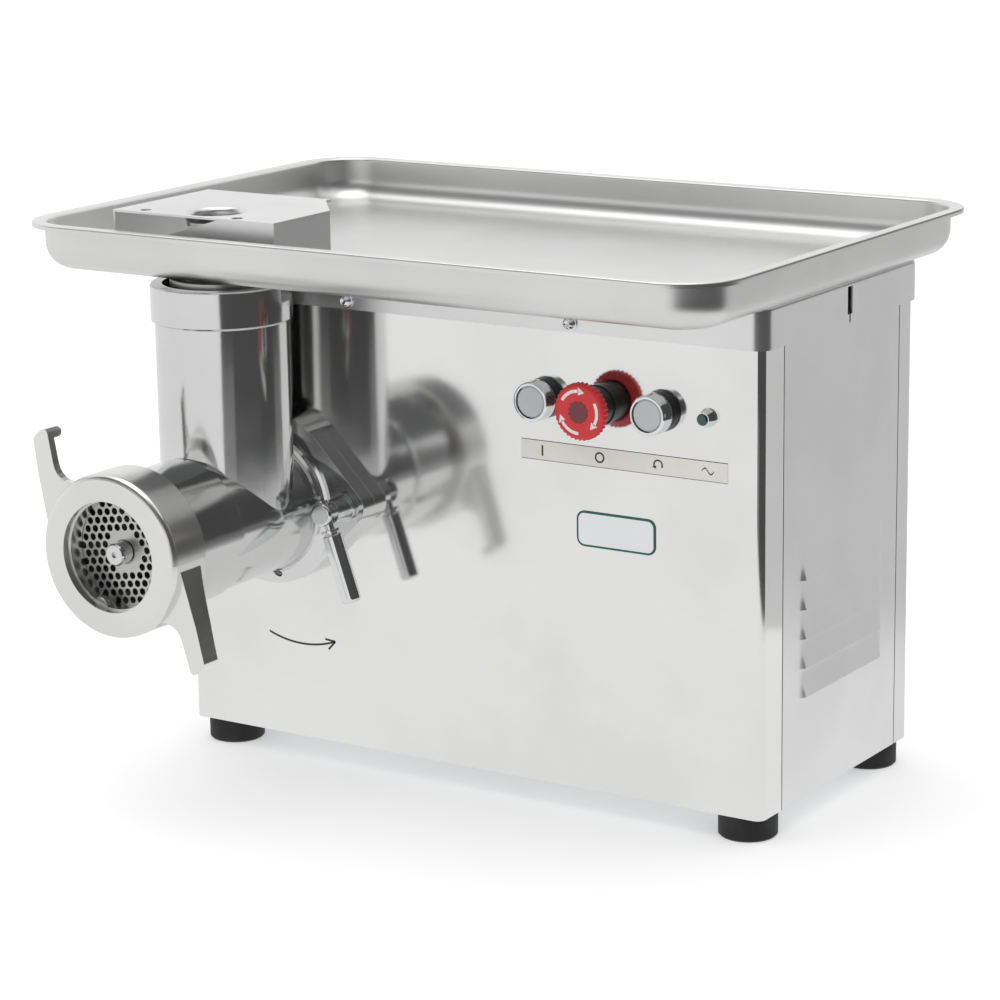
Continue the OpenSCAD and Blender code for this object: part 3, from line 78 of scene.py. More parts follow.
CAMERA_AT = Vector((1.2478, -1.8856, 0.7517))
CAMERA_TURN = math.radians(33.237)
CAMERA_DIP = math.radians(-13.83)
CAMERA_LEAN = math.radians(-0.916)
CAMERA_LENS = 117.96
CAMERA_SENSOR = 36
CAMERA_SHIFT = (0.0126, 0.0088)


def add_camera():
    """The camera, turned to the left, tipped down and leaned a little."""
    ahead = Vector((
        -math.sin(CAMERA_TURN) * math.cos(CAMERA_DIP),
        math.cos(CAMERA_TURN) * math.cos(CAMERA_DIP),
        math.sin(CAMERA_DIP),
    ))
    level = Vector((math.cos(CAMERA_TURN), math.sin(CAMERA_TURN), 0))
    upright = level.cross(ahead)
    right = math.cos(CAMERA_LEAN) * level + math.sin(CAMERA_LEAN) * upright
    up = math.cos(CAMERA_LEAN) * upright - math.sin(CAMERA_LEAN) * level
    data = bpy.data.cameras.new("camera")
    data.lens = CAMERA_LENS
    data.sensor_width = CAMERA_SENSOR
    data.shift_x, data.shift_y = CAMERA_SHIFT
    data.clip_start = 0.05
    data.clip_end = 20
    camera = bpy.data.objects.new("camera", data)
    bpy.context.scene.collection.objects.link(camera)
    turned = Matrix((right, up, -ahead)).transposed().to_4x4()
    camera.matrix_world = Matrix.Translation(CAMERA_AT) @ turned
    bpy.context.scene.camera = camera


add_camera()
bpy.context.scene.view_settings.view_transform = "Standard"


# ---------- shader expressions ----------

class Field:
    """The output of a node. Sums, differences and products of fields add their Math nodes."""

    def __init__(self, paint, socket):
        self.paint = paint
        self.socket = socket

    def math(self, operation, *values):
        return self.paint.node("ShaderNodeMath", {"operation": operation}, dict(enumerate(values)))

    def __add__(self, other):
        return self.math("ADD", self, other)

    __radd__ = __add__

    def __sub__(self, other):
        return self.math("SUBTRACT", self, other)

    def __rsub__(self, other):
        return self.math("SUBTRACT", other, self)

    def __mul__(self, other):
        return self.math("MULTIPLY", self, other)

    __rmul__ = __mul__


class Paint:
    """A node tree, and the one way to add nodes to it."""

    def __init__(self, tree):
        self.tree = tree

    def node(self, kind, settings=None, inputs=None, output=0):
        """Adds a node, sets it up, then fills or links its inputs, and returns one output."""
        made = self.tree.nodes.new(kind)
        for name, value in (settings or {}).items():
            if name == "stops":
                self.set_stops(made.color_ramp, value)
            else:
                setattr(made, name, value)
        for key, value in (inputs or {}).items():
            if isinstance(value, Field):
                self.tree.links.new(value.socket, made.inputs[key])
            else:
                made.inputs[key].default_value = value
        return Field(self, made.outputs[output])

    @staticmethod
    def set_stops(ramp, stops):
        """Sets a ramp's stops, each a place and a colour or a grey."""
        while len(ramp.elements) < len(stops):
            ramp.elements.new(1)
        for element, (place, tone) in zip(ramp.elements, stops):
            element.position = place
            element.color = (*tone, 1) if isinstance(tone, tuple) else (tone, tone, tone, 1)

    def place(self, scale=(1, 1, 1), source="Object"):
        """Coordinates in metres, each axis times its own scale."""
        coordinates = self.node("ShaderNodeTexCoord", output=source)
        return self.node("ShaderNodeVectorMath", {"operation": "MULTIPLY"}, {0: coordinates, 1: scale})

    def noise(self, scale, stretch=(1, 1, 1), detail=3, roughness=0.55):
        """Noise from 0 to 1, with about scale lumps in a metre."""
        where = self.place(stretch)
        inputs = {"Vector": where, "Scale": scale, "Detail": detail, "Roughness": roughness}
        return self.node("ShaderNodeTexNoise", inputs=inputs)

    def axis(self, name):
        """One coordinate in metres."""
        return self.node("ShaderNodeSeparateXYZ", inputs={0: self.place()}, output=name)

    def sheets(self, count):
        """Fine parallel lines across Y, about count of them to a metre."""
        turn = self.axis("Y") * (2 * math.pi * count)
        return 0.5 + 0.5 * self.node("ShaderNodeMath", {"operation": "SINE"}, {0: turn})

    def step(self, value, low, high):
        """0 below low, 1 above high, and a smooth rise between."""
        settings = {"interpolation_type": "SMOOTHSTEP"}
        inputs = {"Value": value, "From Min": low, "From Max": high}
        return self.node("ShaderNodeMapRange", settings, inputs)

    def blend(self, factor, first, second):
        """A colour between two colours."""
        start, end = [tone if isinstance(tone, Field) else (*tone, 1) for tone in (first, second)]
        return self.node("ShaderNodeMix", {"data_type": "RGBA"}, {0: factor, 6: start, 7: end}, output=2)

    def bump(self, height, distance, strength=1.0, edge=0):
        """A normal from a height field, with its edges rounded by the given radius where it has one."""
        inputs = {"Height": height, "Distance": distance, "Strength": strength}
        if edge:
            inputs["Normal"] = self.node("ShaderNodeBevel", {"samples": 4}, {"Radius": edge})
        return self.node("ShaderNodeBump", inputs=inputs)


class Surface(Paint):
    """A material round one Principled shader."""

    def __init__(self, name, **sockets):
        self.material = bpy.data.materials.new(name)
        self.material.use_nodes = True
        super().__init__(self.material.node_tree)
        self.shader = self.tree.nodes["Principled BSDF"]
        self.set(**sockets)

    def set(self, **sockets):
        """Sets or links the shader's sockets, named with underscores for spaces."""
        for name, value in sockets.items():
            socket = self.shader.inputs[name.replace("_", " ")]
            if isinstance(value, Field):
                self.tree.links.new(value.socket, socket)
            elif isinstance(value, tuple):
                socket.default_value = (*value, 1)
            else:
                socket.default_value = value
        return self


# ---------- finishes ----------

EDGE = 0.5 * MM


def steel(name, colour, gloss, grain=None, grain_depth=0.0, waves=0.0, wave_scale=6, edge=EDGE,
          smears=0.05):
    """Bare steel: a tone, a roughness, brushed lines along one axis and a slow wave in the sheet."""
    surface = Surface(name, Metallic=1.0)
    cloud = surface.noise(9, detail=4)
    smear = surface.noise(34, detail=5, roughness=0.65)
    stretch = {"x": (0.02, 1, 1), "y": (1, 0.02, 1), "z": (1, 1, 0.02), None: (1, 1, 1)}[grain]
    broad = surface.noise(420, stretch, detail=1)
    dull = tuple(0.93 * tone for tone in colour)
    tone = surface.blend(surface.step(cloud, 0.35, 0.7), colour, dull)
    roughness = gloss + smears * (smear - 0.5) + grain_depth * (broad - 0.5)
    height = waves * surface.noise(wave_scale, detail=1)
    if grain:
        height = height + grain_depth * 0.02 * MM * broad
    surface.set(Base_Color=tone, Roughness=roughness, Normal=surface.bump(height, 1.0, edge=edge))
    return surface.material


def stainless():
    colour = (0.78, 0.785, 0.78)
    return steel("stainless", colour, 0.3, waves=0.5 * MM, wave_scale=5, smears=0.04, edge=0)


def tray_steel():
    return steel("tray_steel", (0.77, 0.775, 0.765), 0.35, grain="x", grain_depth=0.06, waves=1.2 * MM,
                 wave_scale=5, edge=0)


def polished_stainless():
    return steel("polished_stainless", (0.83, 0.83, 0.825), 0.09, grain="z", grain_depth=0.02,
                 waves=0.05 * MM, smears=0.02)


def zinc_sheet():
    surface = Surface("zinc_sheet", Metallic=1.0)
    inputs = {"Vector": surface.place(), "Scale": 90.0}
    spangle = surface.node("ShaderNodeTexVoronoi", inputs=inputs, output="Color")
    shade = surface.node("ShaderNodeSeparateColor", inputs={0: spangle})
    tone = surface.blend(shade, (0.5, 0.52, 0.54), (0.66, 0.68, 0.7))
    return surface.set(Base_Color=tone, Roughness=0.32 + 0.14 * shade).material


def screws():
    return steel("screws", (0.8, 0.81, 0.82), 0.14, edge=0.2 * MM)


def black_rubber():
    surface = Surface("black_rubber", Specular_IOR_Level=0.4)
    skin = surface.noise(900, detail=4)
    dust = surface.step(surface.noise(60, detail=4), 0.5, 0.8)
    tone = surface.blend(dust, (0.012, 0.012, 0.013), (0.028, 0.027, 0.026))
    normal = surface.bump(skin, 0.08 * MM, edge=EDGE)
    return surface.set(Base_Color=tone, Roughness=0.48 + 0.25 * skin, Normal=normal).material


def moulded(name, colour, gloss, pits=0.03, edge=0.3 * MM):
    """Moulded plastic with a fine skin and a slight change of tone."""
    surface = Surface(name, IOR=1.5)
    skin = surface.noise(1500, detail=3)
    cloud = surface.noise(40, detail=3)
    pale = tuple(min(1, 1.15 * tone + 0.01) for tone in colour)
    tone = surface.blend(cloud, colour, pale)
    normal = surface.bump(skin, pits * MM, edge=edge)
    return surface.set(Base_Color=tone, Roughness=gloss + 0.12 * (cloud - 0.5), Normal=normal).material


def cast_aluminium():
    surface = Surface("cast_aluminium", Metallic=1.0)
    pores = surface.noise(700, detail=4)
    cloud = surface.noise(18, detail=3)
    tone = surface.blend(cloud, (0.52, 0.53, 0.54), (0.66, 0.67, 0.68))
    normal = surface.bump(pores, 0.15 * MM, edge=EDGE)
    return surface.set(Base_Color=tone, Roughness=0.42 + 0.2 * pores, Normal=normal).material


def machined_steel():
    return steel("machined_steel", (0.56, 0.56, 0.55), 0.3, smears=0.12)


def lamination_steel():
    surface = Surface("lamination_steel", Metallic=1.0, Base_Color=(0.3, 0.31, 0.33))
    sheets = surface.sheets(1400)
    return surface.set(Roughness=0.4 + 0.2 * sheets, Normal=surface.bump(sheets, 0.1 * MM)).material


def copper():
    surface = Surface("copper", Metallic=1.0)
    wires = surface.noise(1200, (1, 0.05, 1), detail=2)
    tone = surface.blend(wires, (0.5, 0.2, 0.08), (0.8, 0.42, 0.2))
    normal = surface.bump(wires, 0.3 * MM)
    return surface.set(Base_Color=tone, Roughness=0.3 + 0.2 * wires, Normal=normal).material


def chrome():
    return steel("chrome", (0.8, 0.81, 0.82), 0.08, edge=0.25 * MM, smears=0.03)


def green_lens():
    surface = Surface("green_lens", IOR=1.5, Coat_Weight=1.0, Coat_Roughness=0.05)
    depth = surface.noise(300, detail=2)
    tone = surface.blend(depth, (0.0, 0.022, 0.017), (0.0, 0.06, 0.042))
    return surface.set(Base_Color=tone, Roughness=0.12 + 0.08 * depth).material


def polished_casting():
    colour = (0.72, 0.725, 0.72)
    return steel("polished_casting", colour, 0.13, waves=0.25 * MM, wave_scale=24, smears=0.07)


def satin_casting():
    return steel("satin_casting", (0.8, 0.8, 0.79), 0.24, waves=0.2 * MM, wave_scale=22, smears=0.08)


def clamp_steel():
    return steel("clamp_steel", (0.74, 0.745, 0.75), 0.12, smears=0.06)


FINISHES = {
    "stainless": stainless(),
    "polished_stainless": polished_stainless(),
    "zinc_sheet": zinc_sheet(),
    "screws": screws(),
    "black_rubber": black_rubber(),
    "black_plastic": moulded("black_plastic", (0.012, 0.012, 0.013), 0.32),
    "cast_aluminium": cast_aluminium(),
    "machined_steel": machined_steel(),
    "lamination_steel": lamination_steel(),
    "copper": copper(),
    "pale_plastic": moulded("pale_plastic", (0.78, 0.77, 0.73), 0.4),
    "chrome": chrome(),
    "green_lens": green_lens(),
    "grey_cap": moulded("grey_cap", (0.5, 0.53, 0.53), 0.35),
    "red_plastic": moulded("red_plastic", (0.62, 0.02, 0.025), 0.3),
    "polished_casting": polished_casting(),
    "satin_casting": satin_casting(),
    "clamp_steel": clamp_steel(),
}


def dress_frame():
    """Gives each node of the frame the finish of its slot."""
    for part in RECORD["subparts"]:
        mesh = NODES[part["node"]].data
        mesh.materials.clear()
        mesh.materials.append(FINISHES[part["material_slot"]])


dress_frame()


# ---------- small pieces ----------

def build(name, body, material, bm):
    """Makes a piece from a mesh in progress, in place, and lets it ride on a body."""
    bmesh.ops.recalc_face_normals(bm, faces=bm.faces)
    mesh = bpy.data.meshes.new(name)
    bm.to_mesh(mesh)
    bm.free()
    mesh.materials.append(material)
    piece = bpy.data.objects.new(name, mesh)
    bpy.context.scene.collection.objects.link(piece)
    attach(piece, body)
    return piece


def prism(bm, outline, y, thickness):
    """A flat shape in X and Z, its front at y and its back a thickness behind."""
    front = [bm.verts.new((x, y, z)) for x, z in outline]
    back = [bm.verts.new((x, y + thickness, z)) for x, z in outline]
    bm.faces.new(front)
    bm.faces.new(reversed(back))
    for i in range(len(outline)):
        j = (i + 1) % len(outline)
        bm.faces.new((front[i], back[i], back[j], front[j]))


def arc(centre, radius, start, end, steps):
    """Points of an arc in X and Z, its angles in degrees."""
    angles = [math.radians(start + (end - start) * i / steps) for i in range(steps + 1)]
    return [(centre[0] + radius * math.cos(a), centre[1] + radius * math.sin(a)) for a in angles]


def rounded(centre, width, height, radius, steps=6):
    """Outline of a rectangle with round corners."""
    points = []
    for turn, sx, sz in ((0, 1, 1), (90, -1, 1), (180, -1, -1), (270, 1, -1)):
        corner = (centre[0] + sx * (width / 2 - radius), centre[1] + sz * (height / 2 - radius))
        points += arc(corner, radius, turn, turn + 90, steps)
    return points


def band(centre, radius, width, start, end, steps):
    """Outline of a stretch of a ring."""
    outer = arc(centre, radius + width / 2, start, end, steps)
    inner = arc(centre, radius - width / 2, end, start, steps)
    return outer + inner


def arrow_head(centre, radius, at, reach, half):
    """Triangle at the end of a band, its tip further round by reach degrees."""
    base = math.radians(at)
    tip = math.radians(at + reach)
    spots = ((radius + half, base), (radius, tip), (radius - half, base))
    return [(centre[0] + r * math.cos(a), centre[1] + r * math.sin(a)) for r, a in spots]


def printed(name, tone):
    """Thin printed ink."""
    surface = Surface(name, IOR=1.45)
    wear = surface.noise(500, detail=4)
    pale = tuple(min(1, 1.3 * value + 0.02) for value in tone)
    colour = surface.blend(surface.step(wear, 0.45, 0.8), tone, pale)
    return surface.set(Base_Color=colour, Roughness=0.35 + 0.2 * wear).material


INK = printed("ink", (0.03, 0.03, 0.03))
WHITE_INK = printed("white_ink", (0.8, 0.78, 0.76))
GREEN_INK = printed("green_ink", (0.015, 0.11, 0.075))
STRIP = moulded("label_film", (0.76, 0.75, 0.7), 0.4)


LABEL_FROM = 293 * MM
LABEL_TO = 454 * MM
LABEL_FOOT = 231 * MM
LABEL_HEAD = 244.5 * MM
LABEL_FILM = 0.25 * MM
SIGN_R = 3.2 * MM
SIGN_OUT = 0.33 * MM
SIGN_DEEP = 0.1 * MM


def label_strip():
    """Strip under the controls with a plain sign for each: on, off, turn back and mains."""
    low_z = PANEL_LOW.z + LABEL_FOOT
    high_z = PANEL_LOW.z + LABEL_HEAD
    left = PANEL_LOW.x + LABEL_FROM
    right = PANEL_LOW.x + LABEL_TO
    centre = ((left + right) / 2, (low_z + high_z) / 2)
    bm = bmesh.new()
    film = rounded(centre, right - left, high_z - low_z, 0.6 * MM)
    prism(bm, film, FRONT_Y - LABEL_FILM, LABEL_FILM)
    build("label_strip", "cabinet", STRIP, bm)
    bm = bmesh.new()
    y = FRONT_Y - SIGN_OUT
    z = centre[1]
    deep = SIGN_DEEP
    prism(bm, rounded((START.x, z), 1.3 * MM, 7.5 * MM, 0.3 * MM), y, deep)
    prism(bm, band((STOP.x, z), SIGN_R, 1.2 * MM, 0, 359, 40), y, deep)
    prism(bm, band((REVERSE.x, z), SIGN_R, 1.1 * MM, -30, 200, 30), y, deep)
    prism(bm, arrow_head((REVERSE.x, z), SIGN_R, 198, 42, 1.7 * MM), y, deep)
    swing = []
    for i in range(21):
        swing.append((LAMP.x + (i - 10) * 0.45 * MM, z + 2.0 * MM * math.sin(i * math.pi / 10)))
    half = 0.5 * MM
    prism(bm, [(x, h + half) for x, h in swing] + [(x, h - half) for x, h in reversed(swing)], y, deep)
    build("label_signs", "cabinet", INK, bm)
    bm = bmesh.new()
    for height in (low_z, high_z):
        prism(bm, rounded((centre[0], height), right - left, 0.35 * MM, 0.1 * MM, 2), y, deep)
    build("label_lines", "cabinet", INK, bm)


BADGE_IN = 368 * MM
BADGE_UP = 187 * MM


def badge():
    """Bare plate with a green edge."""
    centre = (PANEL_LOW.x + BADGE_IN, PANEL_LOW.z + BADGE_UP)
    bm = bmesh.new()
    prism(bm, rounded(centre, 62 * MM, 25 * MM, 6 * MM), FRONT_Y - 0.5 * MM, 0.5 * MM)
    build("badge_edge", "cabinet", GREEN_INK, bm)
    bm = bmesh.new()
    prism(bm, rounded(centre, 59 * MM, 22 * MM, 4.6 * MM), FRONT_Y - 0.7 * MM, 0.3 * MM)
    build("badge_plate", "cabinet", FINISHES["chrome"], bm)


ARROW_FROM = 72 * MM
ARROW_TO = 131 * MM
ARROW_UP = 76 * MM
ARROW_SAG = 5.5 * MM
ARROW_LINE = 1.5 * MM
ARROW_BARB = 9 * MM
PRINT_THICK = 0.06 * MM


def turning_arrow():
    """Printed arrow for the auger's direction."""
    bm = bmesh.new()
    left = PANEL_LOW.x + ARROW_FROM
    right = PANEL_LOW.x + ARROW_TO
    sag = ARROW_SAG
    z = PANEL_LOW.z + ARROW_UP
    half_chord = (right - left) / 2
    radius = (half_chord ** 2 + sag ** 2) / (2 * sag)
    spread = math.degrees(math.asin(half_chord / radius))
    centre = ((left + right) / 2, z - sag + radius)
    y = FRONT_Y - PRINT_THICK
    deep = PRINT_THICK
    prism(bm, band(centre, radius, ARROW_LINE, 270 - spread, 270 + spread, 30), y, deep)
    tip = Vector((right, z))
    lean = math.radians(spread)
    for side in (-1, 1):
        turn = lean + math.pi + side * 0.45
        along = Vector((math.cos(turn), math.sin(turn)))
        across = Vector((-along.y, along.x)) * ARROW_LINE / 2
        end = tip + along * ARROW_BARB
        prism(bm, [tuple(p) for p in (tip - across, tip + across, end + across, end - across)], y, deep)
    build("turning_arrow", "cabinet", INK, bm)


def stop_marks():
    """Three arrows round the stop button's face and the scalloped hub in its middle."""
    low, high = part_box("stop_button")
    centre = (STOP.x, STOP.z)
    rim = (high.x - low.x) / 2
    bm = bmesh.new()
    track = 0.73 * rim
    y = low.y - 0.05 * MM
    for turn in (0, 120, 240):
        start = 150 - turn
        prism(bm, band(centre, track, 0.11 * rim, start - 62, start, 18), y, SIGN_DEEP)
        prism(bm, arrow_head(centre, track, start - 60, -20, 0.14 * rim), y, SIGN_DEEP)
    build("stop_arrows", "stop_button", WHITE_INK, bm)
    bm = bmesh.new()
    outline = []
    for degrees in range(0, 360, 3):
        turn = math.radians(degrees)
        radius = 0.34 * rim + 0.05 * rim * abs(math.sin(6 * turn))
        outline.append((centre[0] + radius * math.cos(turn), centre[1] + radius * math.sin(turn)))
    prism(bm, outline, low.y - 0.4 * MM, 0.4 * MM)
    build("stop_hub", "stop_button", moulded("hub_red", (0.16, 0.03, 0.035), 0.4), bm)


TRAY_SHEET = 1.2 * MM
TRAY_HEIGHT = 33.7 * MM
TRAY_CORNER = 45 * MM
TRAY_BEND = 18 * MM
TRAY_LIP = 3.5 * MM
TRAY_RIM = 9 * MM
SPOUT_R = 35.5 * MM
SPOUT_EDGE = 4 * MM
SHARP = math.radians(35)


def sweep(bm, rings):
    """Joins closed rings of vertices with equal counts, each to the next."""
    made = [[bm.verts.new(point) for point in ring] for ring in rings]
    for first, second in zip(made, made[1:]):
        for i in range(len(first)):
            j = (i + 1) % len(first)
            bm.faces.new((first[i], first[j], second[j], second[i]))
    return made


def ring_edges(bm, ring):
    """The edges of a closed ring of vertices."""
    return [bm.edges.get((ring[i], ring[(i + 1) % len(ring)])) for i in range(len(ring))]


def pressed_tray():
    """The tray as one drawn sheet: floor, bent walls, turned-over rim and a spout with a soft edge."""
    low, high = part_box("feed_tray")
    floor = high.z - TRAY_HEIGHT
    centre = ((low.x + high.x) / 2, (low.y + high.y) / 2)
    size = (high.x - low.x, high.y - low.y)
    wall = TRAY_RIM
    inner = wall + TRAY_SHEET
    heel = wall + TRAY_BEND
    top = TRAY_HEIGHT
    section = [(heel + MM, 0.0)] + arc((heel, TRAY_BEND), TRAY_BEND, 270, 180, 12)
    section += arc((wall - 0.8 * MM, top - TRAY_SHEET - 0.8 * MM), 0.8 * MM, 0, 90, 4)
    section += [(TRAY_SHEET, top - TRAY_SHEET), (TRAY_SHEET, top - TRAY_LIP), (0.0, top - TRAY_LIP)]
    section += arc((1.6 * MM, top - 1.6 * MM), 1.6 * MM, 180, 90, 6)
    section += arc((inner - 2.4 * MM, top - 2.4 * MM), 2.4 * MM, 90, 0, 6)
    section += arc((heel, TRAY_BEND), TRAY_BEND - TRAY_SHEET, 180, 270, 12) + [(heel + MM, TRAY_SHEET)]
    rings = []
    for inset, height in section:
        outline = rounded(centre, size[0] - 2 * inset, size[1] - 2 * inset, TRAY_CORNER - inset, 18)
        rings.append([(x, y, floor + height) for x, y in outline])
    bm = bmesh.new()
    wall_rings = sweep(bm, rings)
    bore = SPOUT_R - TRAY_SHEET
    soft = SPOUT_EDGE
    end = low.z - floor
    lead = bore + soft + MM
    throat = [(lead, TRAY_SHEET)] + arc((bore + soft, TRAY_SHEET - soft), soft, 90, 180, 6)
    throat += [(bore, end), (SPOUT_R, end)]
    throat += arc((bore + soft, TRAY_SHEET - soft), soft - TRAY_SHEET, 180, 90, 6) + [(lead, 0.0)]
    rings = []
    for radius, height in throat:
        rings.append([(x, y, floor + height) for x, y in arc(NECK, radius, 0, 355, 71)])
    spout_rings = sweep(bm, rings)
    for outer, hole in ((wall_rings[-1], spout_rings[0]), (wall_rings[0], spout_rings[-1])):
        bmesh.ops.triangle_fill(bm, use_beauty=True, edges=ring_edges(bm, outer) + ring_edges(bm, hole))
    tray = build("pressed_tray", "tray", tray_steel(), bm)
    tray.data.shade_smooth()
    tray.data.set_sharp_from_angle(angle=SHARP)
    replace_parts(tray, "feed_tray")


SHEET = 1.2 * MM
PANEL_BEND = 6.4 * MM
LEAD_IN = 1 * MM
HEAD_HOLE_R = 35.3 * MM
LAMP_HOLE_R = 5 * MM
CONTROL_HOLE_R = 11.3 * MM


def fold(right, front, back, bend, inset):
    """Plan of a folded sheet's right side, from its flat face round the bend to its edge."""
    turn = arc((right - bend, front + bend), bend - inset, 270, 360, 14)
    lead = (right - bend - LEAD_IN, front + inset)
    return [lead] + turn + [(right - inset, front + bend + LEAD_IN), (right - inset, back)]


def circle(bm, x, y, z, radius):
    """A ring of vertices round a hole through the front."""
    return [bm.verts.new((across, y, up)) for across, up in arc((x, z), radius, 0, 352.5, 47)]


def sheet_skin(bm, inset, holes):
    """One side of the front sheet, flat with holes between two bent returns."""
    low, high = PANEL_LOW, PANEL_HIGH
    plan = fold(high.x, low.y, high.y, PANEL_BEND, inset)
    sides = []
    for path in (plan, [(low.x + high.x - x, y) for x, y in plan]):
        rows = [[bm.verts.new((x, y, z)) for x, y in path] for z in (low.z, high.z)]
        for i in range(len(path) - 1):
            bm.faces.new((rows[0][i], rows[0][i + 1], rows[1][i + 1], rows[1][i]))
        sides.append(rows)
    (right_foot, right_head), (left_foot, left_head) = sides
    border = [left_foot[0], right_foot[0], right_head[0], left_head[0]]
    rings = [circle(bm, x, low.y + inset, z, radius) for x, z, radius in holes]
    edges = []
    for ring in [border] + rings:
        for first, second in zip(ring, ring[1:] + ring[:1]):
            edges.append(bm.edges.get((first, second)) or bm.edges.new((first, second)))
    bmesh.ops.triangle_fill(bm, use_beauty=True, edges=edges)
    return left_foot[::-1] + right_foot, left_head[::-1] + right_head, rings


def folded_front():
    """The front sheet with its tight side bends, its holes and its short returns."""
    bm = bmesh.new()
    holes = [(NECK[0], HEAD_Z, HEAD_HOLE_R), (LAMP.x, LAMP.z, LAMP_HOLE_R)]
    holes += [(spot.x, spot.z, CONTROL_HOLE_R) for spot in (START, STOP, REVERSE)]
    foot, head, rings = sheet_skin(bm, 0.0, holes)
    inner_foot, inner_head, inner_rings = sheet_skin(bm, SHEET, holes)
    for outer, inner in ((foot, inner_foot), (head, inner_head)):
        for i in range(len(outer) - 1):
            bm.faces.new((outer[i], outer[i + 1], inner[i + 1], inner[i]))
    for end in (0, -1):
        bm.faces.new((foot[end], head[end], inner_head[end], inner_foot[end]))
    for outer, inner in zip(rings, inner_rings):
        for i in range(len(outer)):
            j = (i + 1) % len(outer)
            bm.faces.new((outer[i], outer[j], inner[j], inner[i]))
    panel = build("folded_front", "cabinet", FINISHES["polished_stainless"], bm)
    panel.data.shade_smooth()
    panel.data.set_sharp_from_angle(angle=SHARP)
    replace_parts(panel, "front_panel")


LOUVRES = 5
LOUVRE_LENGTH = 125 * MM
LOUVRE_PITCH = 20.6 * MM
LOUVRE_HEIGHT = 19 * MM
LOUVRE_OUT = 6 * MM
LOUVRE_FOOT = 73 * MM
LOUVRE_LIP = 3 * MM
LOUVRE_END = 7 * MM
LOUVRE_STEPS = 8
HAIR = 0.001 * MM


def steps_between(start, end, count):
    """Values from start up to end, closer together at both ends, without end itself."""
    middle_at = (start + end) / 2
    return [middle_at - (end - start) / 2 * math.cos(math.pi * i / count) for i in range(count)]


class PressedSheet:
    """Side sheet whose louvres are drawn out of it, with round closed ends and an open lip below."""

    def __init__(self, node, side):
        self.side = side
        self.low, self.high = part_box(node)
        self.sheet = self.high.x - self.low.x - LOUVRE_OUT
        self.face = self.high.x - LOUVRE_OUT if side > 0 else self.low.x + LOUVRE_OUT
        self.start = (self.low.y + self.high.y - LOUVRE_LENGTH) / 2
        self.lips = [self.low.z + LOUVRE_FOOT + i * LOUVRE_PITCH for i in range(LOUVRES)]
        self.levels = [self.low.z] + steps_between(self.low.z + 1 * MM, self.lips[0], 4)
        for lip in self.lips:
            top = lip + LOUVRE_HEIGHT
            self.levels += [lip + (top - lip) * i / LOUVRE_STEPS for i in range(LOUVRE_STEPS + 1)]
        self.levels += steps_between(self.levels[-1] + 1 * MM, self.high.z, 4)[1:] + [self.high.z]
        end = self.start + LOUVRE_LENGTH
        marks = [self.low.y, self.start, self.start + LOUVRE_END, end - LOUVRE_END, end, self.high.y]
        self.columns = []
        for first, last, count in zip(marks, marks[1:], (3, 12, 6, 12, 3)):
            self.columns += steps_between(first, last, count)
        self.columns.append(self.high.y)
        self.bm = bmesh.new()
        self.spots = {}

    def out_at(self, z, y, above):
        """How far the sheet stands out. A lip belongs to the hood above it, or to the flat below."""
        inset = min(y - self.start, self.start + LOUVRE_LENGTH - y)
        if inset < HAIR:
            return 0.0
        for lip in self.lips:
            up = (z - lip) / LOUVRE_HEIGHT
            if -0.001 < up < 0.999 and (above or up > 0.001):
                near = min(1, inset / LOUVRE_END)
                return LOUVRE_LIP * (1 - up) ** 1.2 * near * near * (3 - 2 * near)
        return 0.0

    def spot(self, layer, level, column, above):
        """The vertex of one layer at a level and a column, made once on each side of a cut."""
        z = self.levels[level]
        y = self.columns[column]
        out = self.out_at(z, y, above)
        key = (layer, level, column, out > 0)
        if key not in self.spots:
            x = self.face + self.side * (out - layer * self.sheet)
            self.spots[key] = self.bm.verts.new((x, y, z))
        return self.spots[key]

    def rim(self, first, second):
        """Closes the sheet's thickness along one edge."""
        outer = [self.spot(0, *first), self.spot(0, *second)]
        inner = [self.spot(1, *second), self.spot(1, *first)]
        self.bm.faces.new(outer + inner)

    def make(self, name):
        """Fills both layers, closes the borders and the cut lips, and builds the piece."""
        rows = len(self.levels) - 1
        spans = len(self.columns) - 1
        for j in range(rows):
            for c in range(spans):
                corners = ((j, c, True), (j, c + 1, True), (j + 1, c + 1, False), (j + 1, c, False))
                for layer in (0, 1):
                    self.bm.faces.new([self.spot(layer, *corner) for corner in corners])
            self.rim((j, 0, True), (j + 1, 0, False))
            self.rim((j, spans, True), (j + 1, spans, False))
        for c in range(spans):
            self.rim((0, c, True), (0, c + 1, True))
            self.rim((rows, c, False), (rows, c + 1, False))
            for j in range(rows):
                along = self.columns[c] - self.start
                if self.levels[j] in self.lips and -HAIR < along < LOUVRE_LENGTH - HAIR:
                    self.rim((j, c, True), (j, c + 1, True))
                    self.rim((j, c, False), (j, c + 1, False))
        piece = build(name, "cabinet", FINISHES["stainless"], self.bm)
        piece.data.shade_smooth()
        piece.data.set_sharp_from_angle(angle=SHARP)
        return piece


def louvred_sides():
    """Both side panels with their pressed louvres, in place of the plain hoods."""
    for name, side in (("right_side", 1), ("left_side", -1)):
        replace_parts(PressedSheet(name + "_panel", side).make(name + "_sheet"), name + "_panel")


folded_front()
pressed_tray()
louvred_sides()
label_strip()
badge()
turning_arrow()
stop_marks()


# ---------- studio ----------

SIDE = (PANEL_HIGH.x, 0)


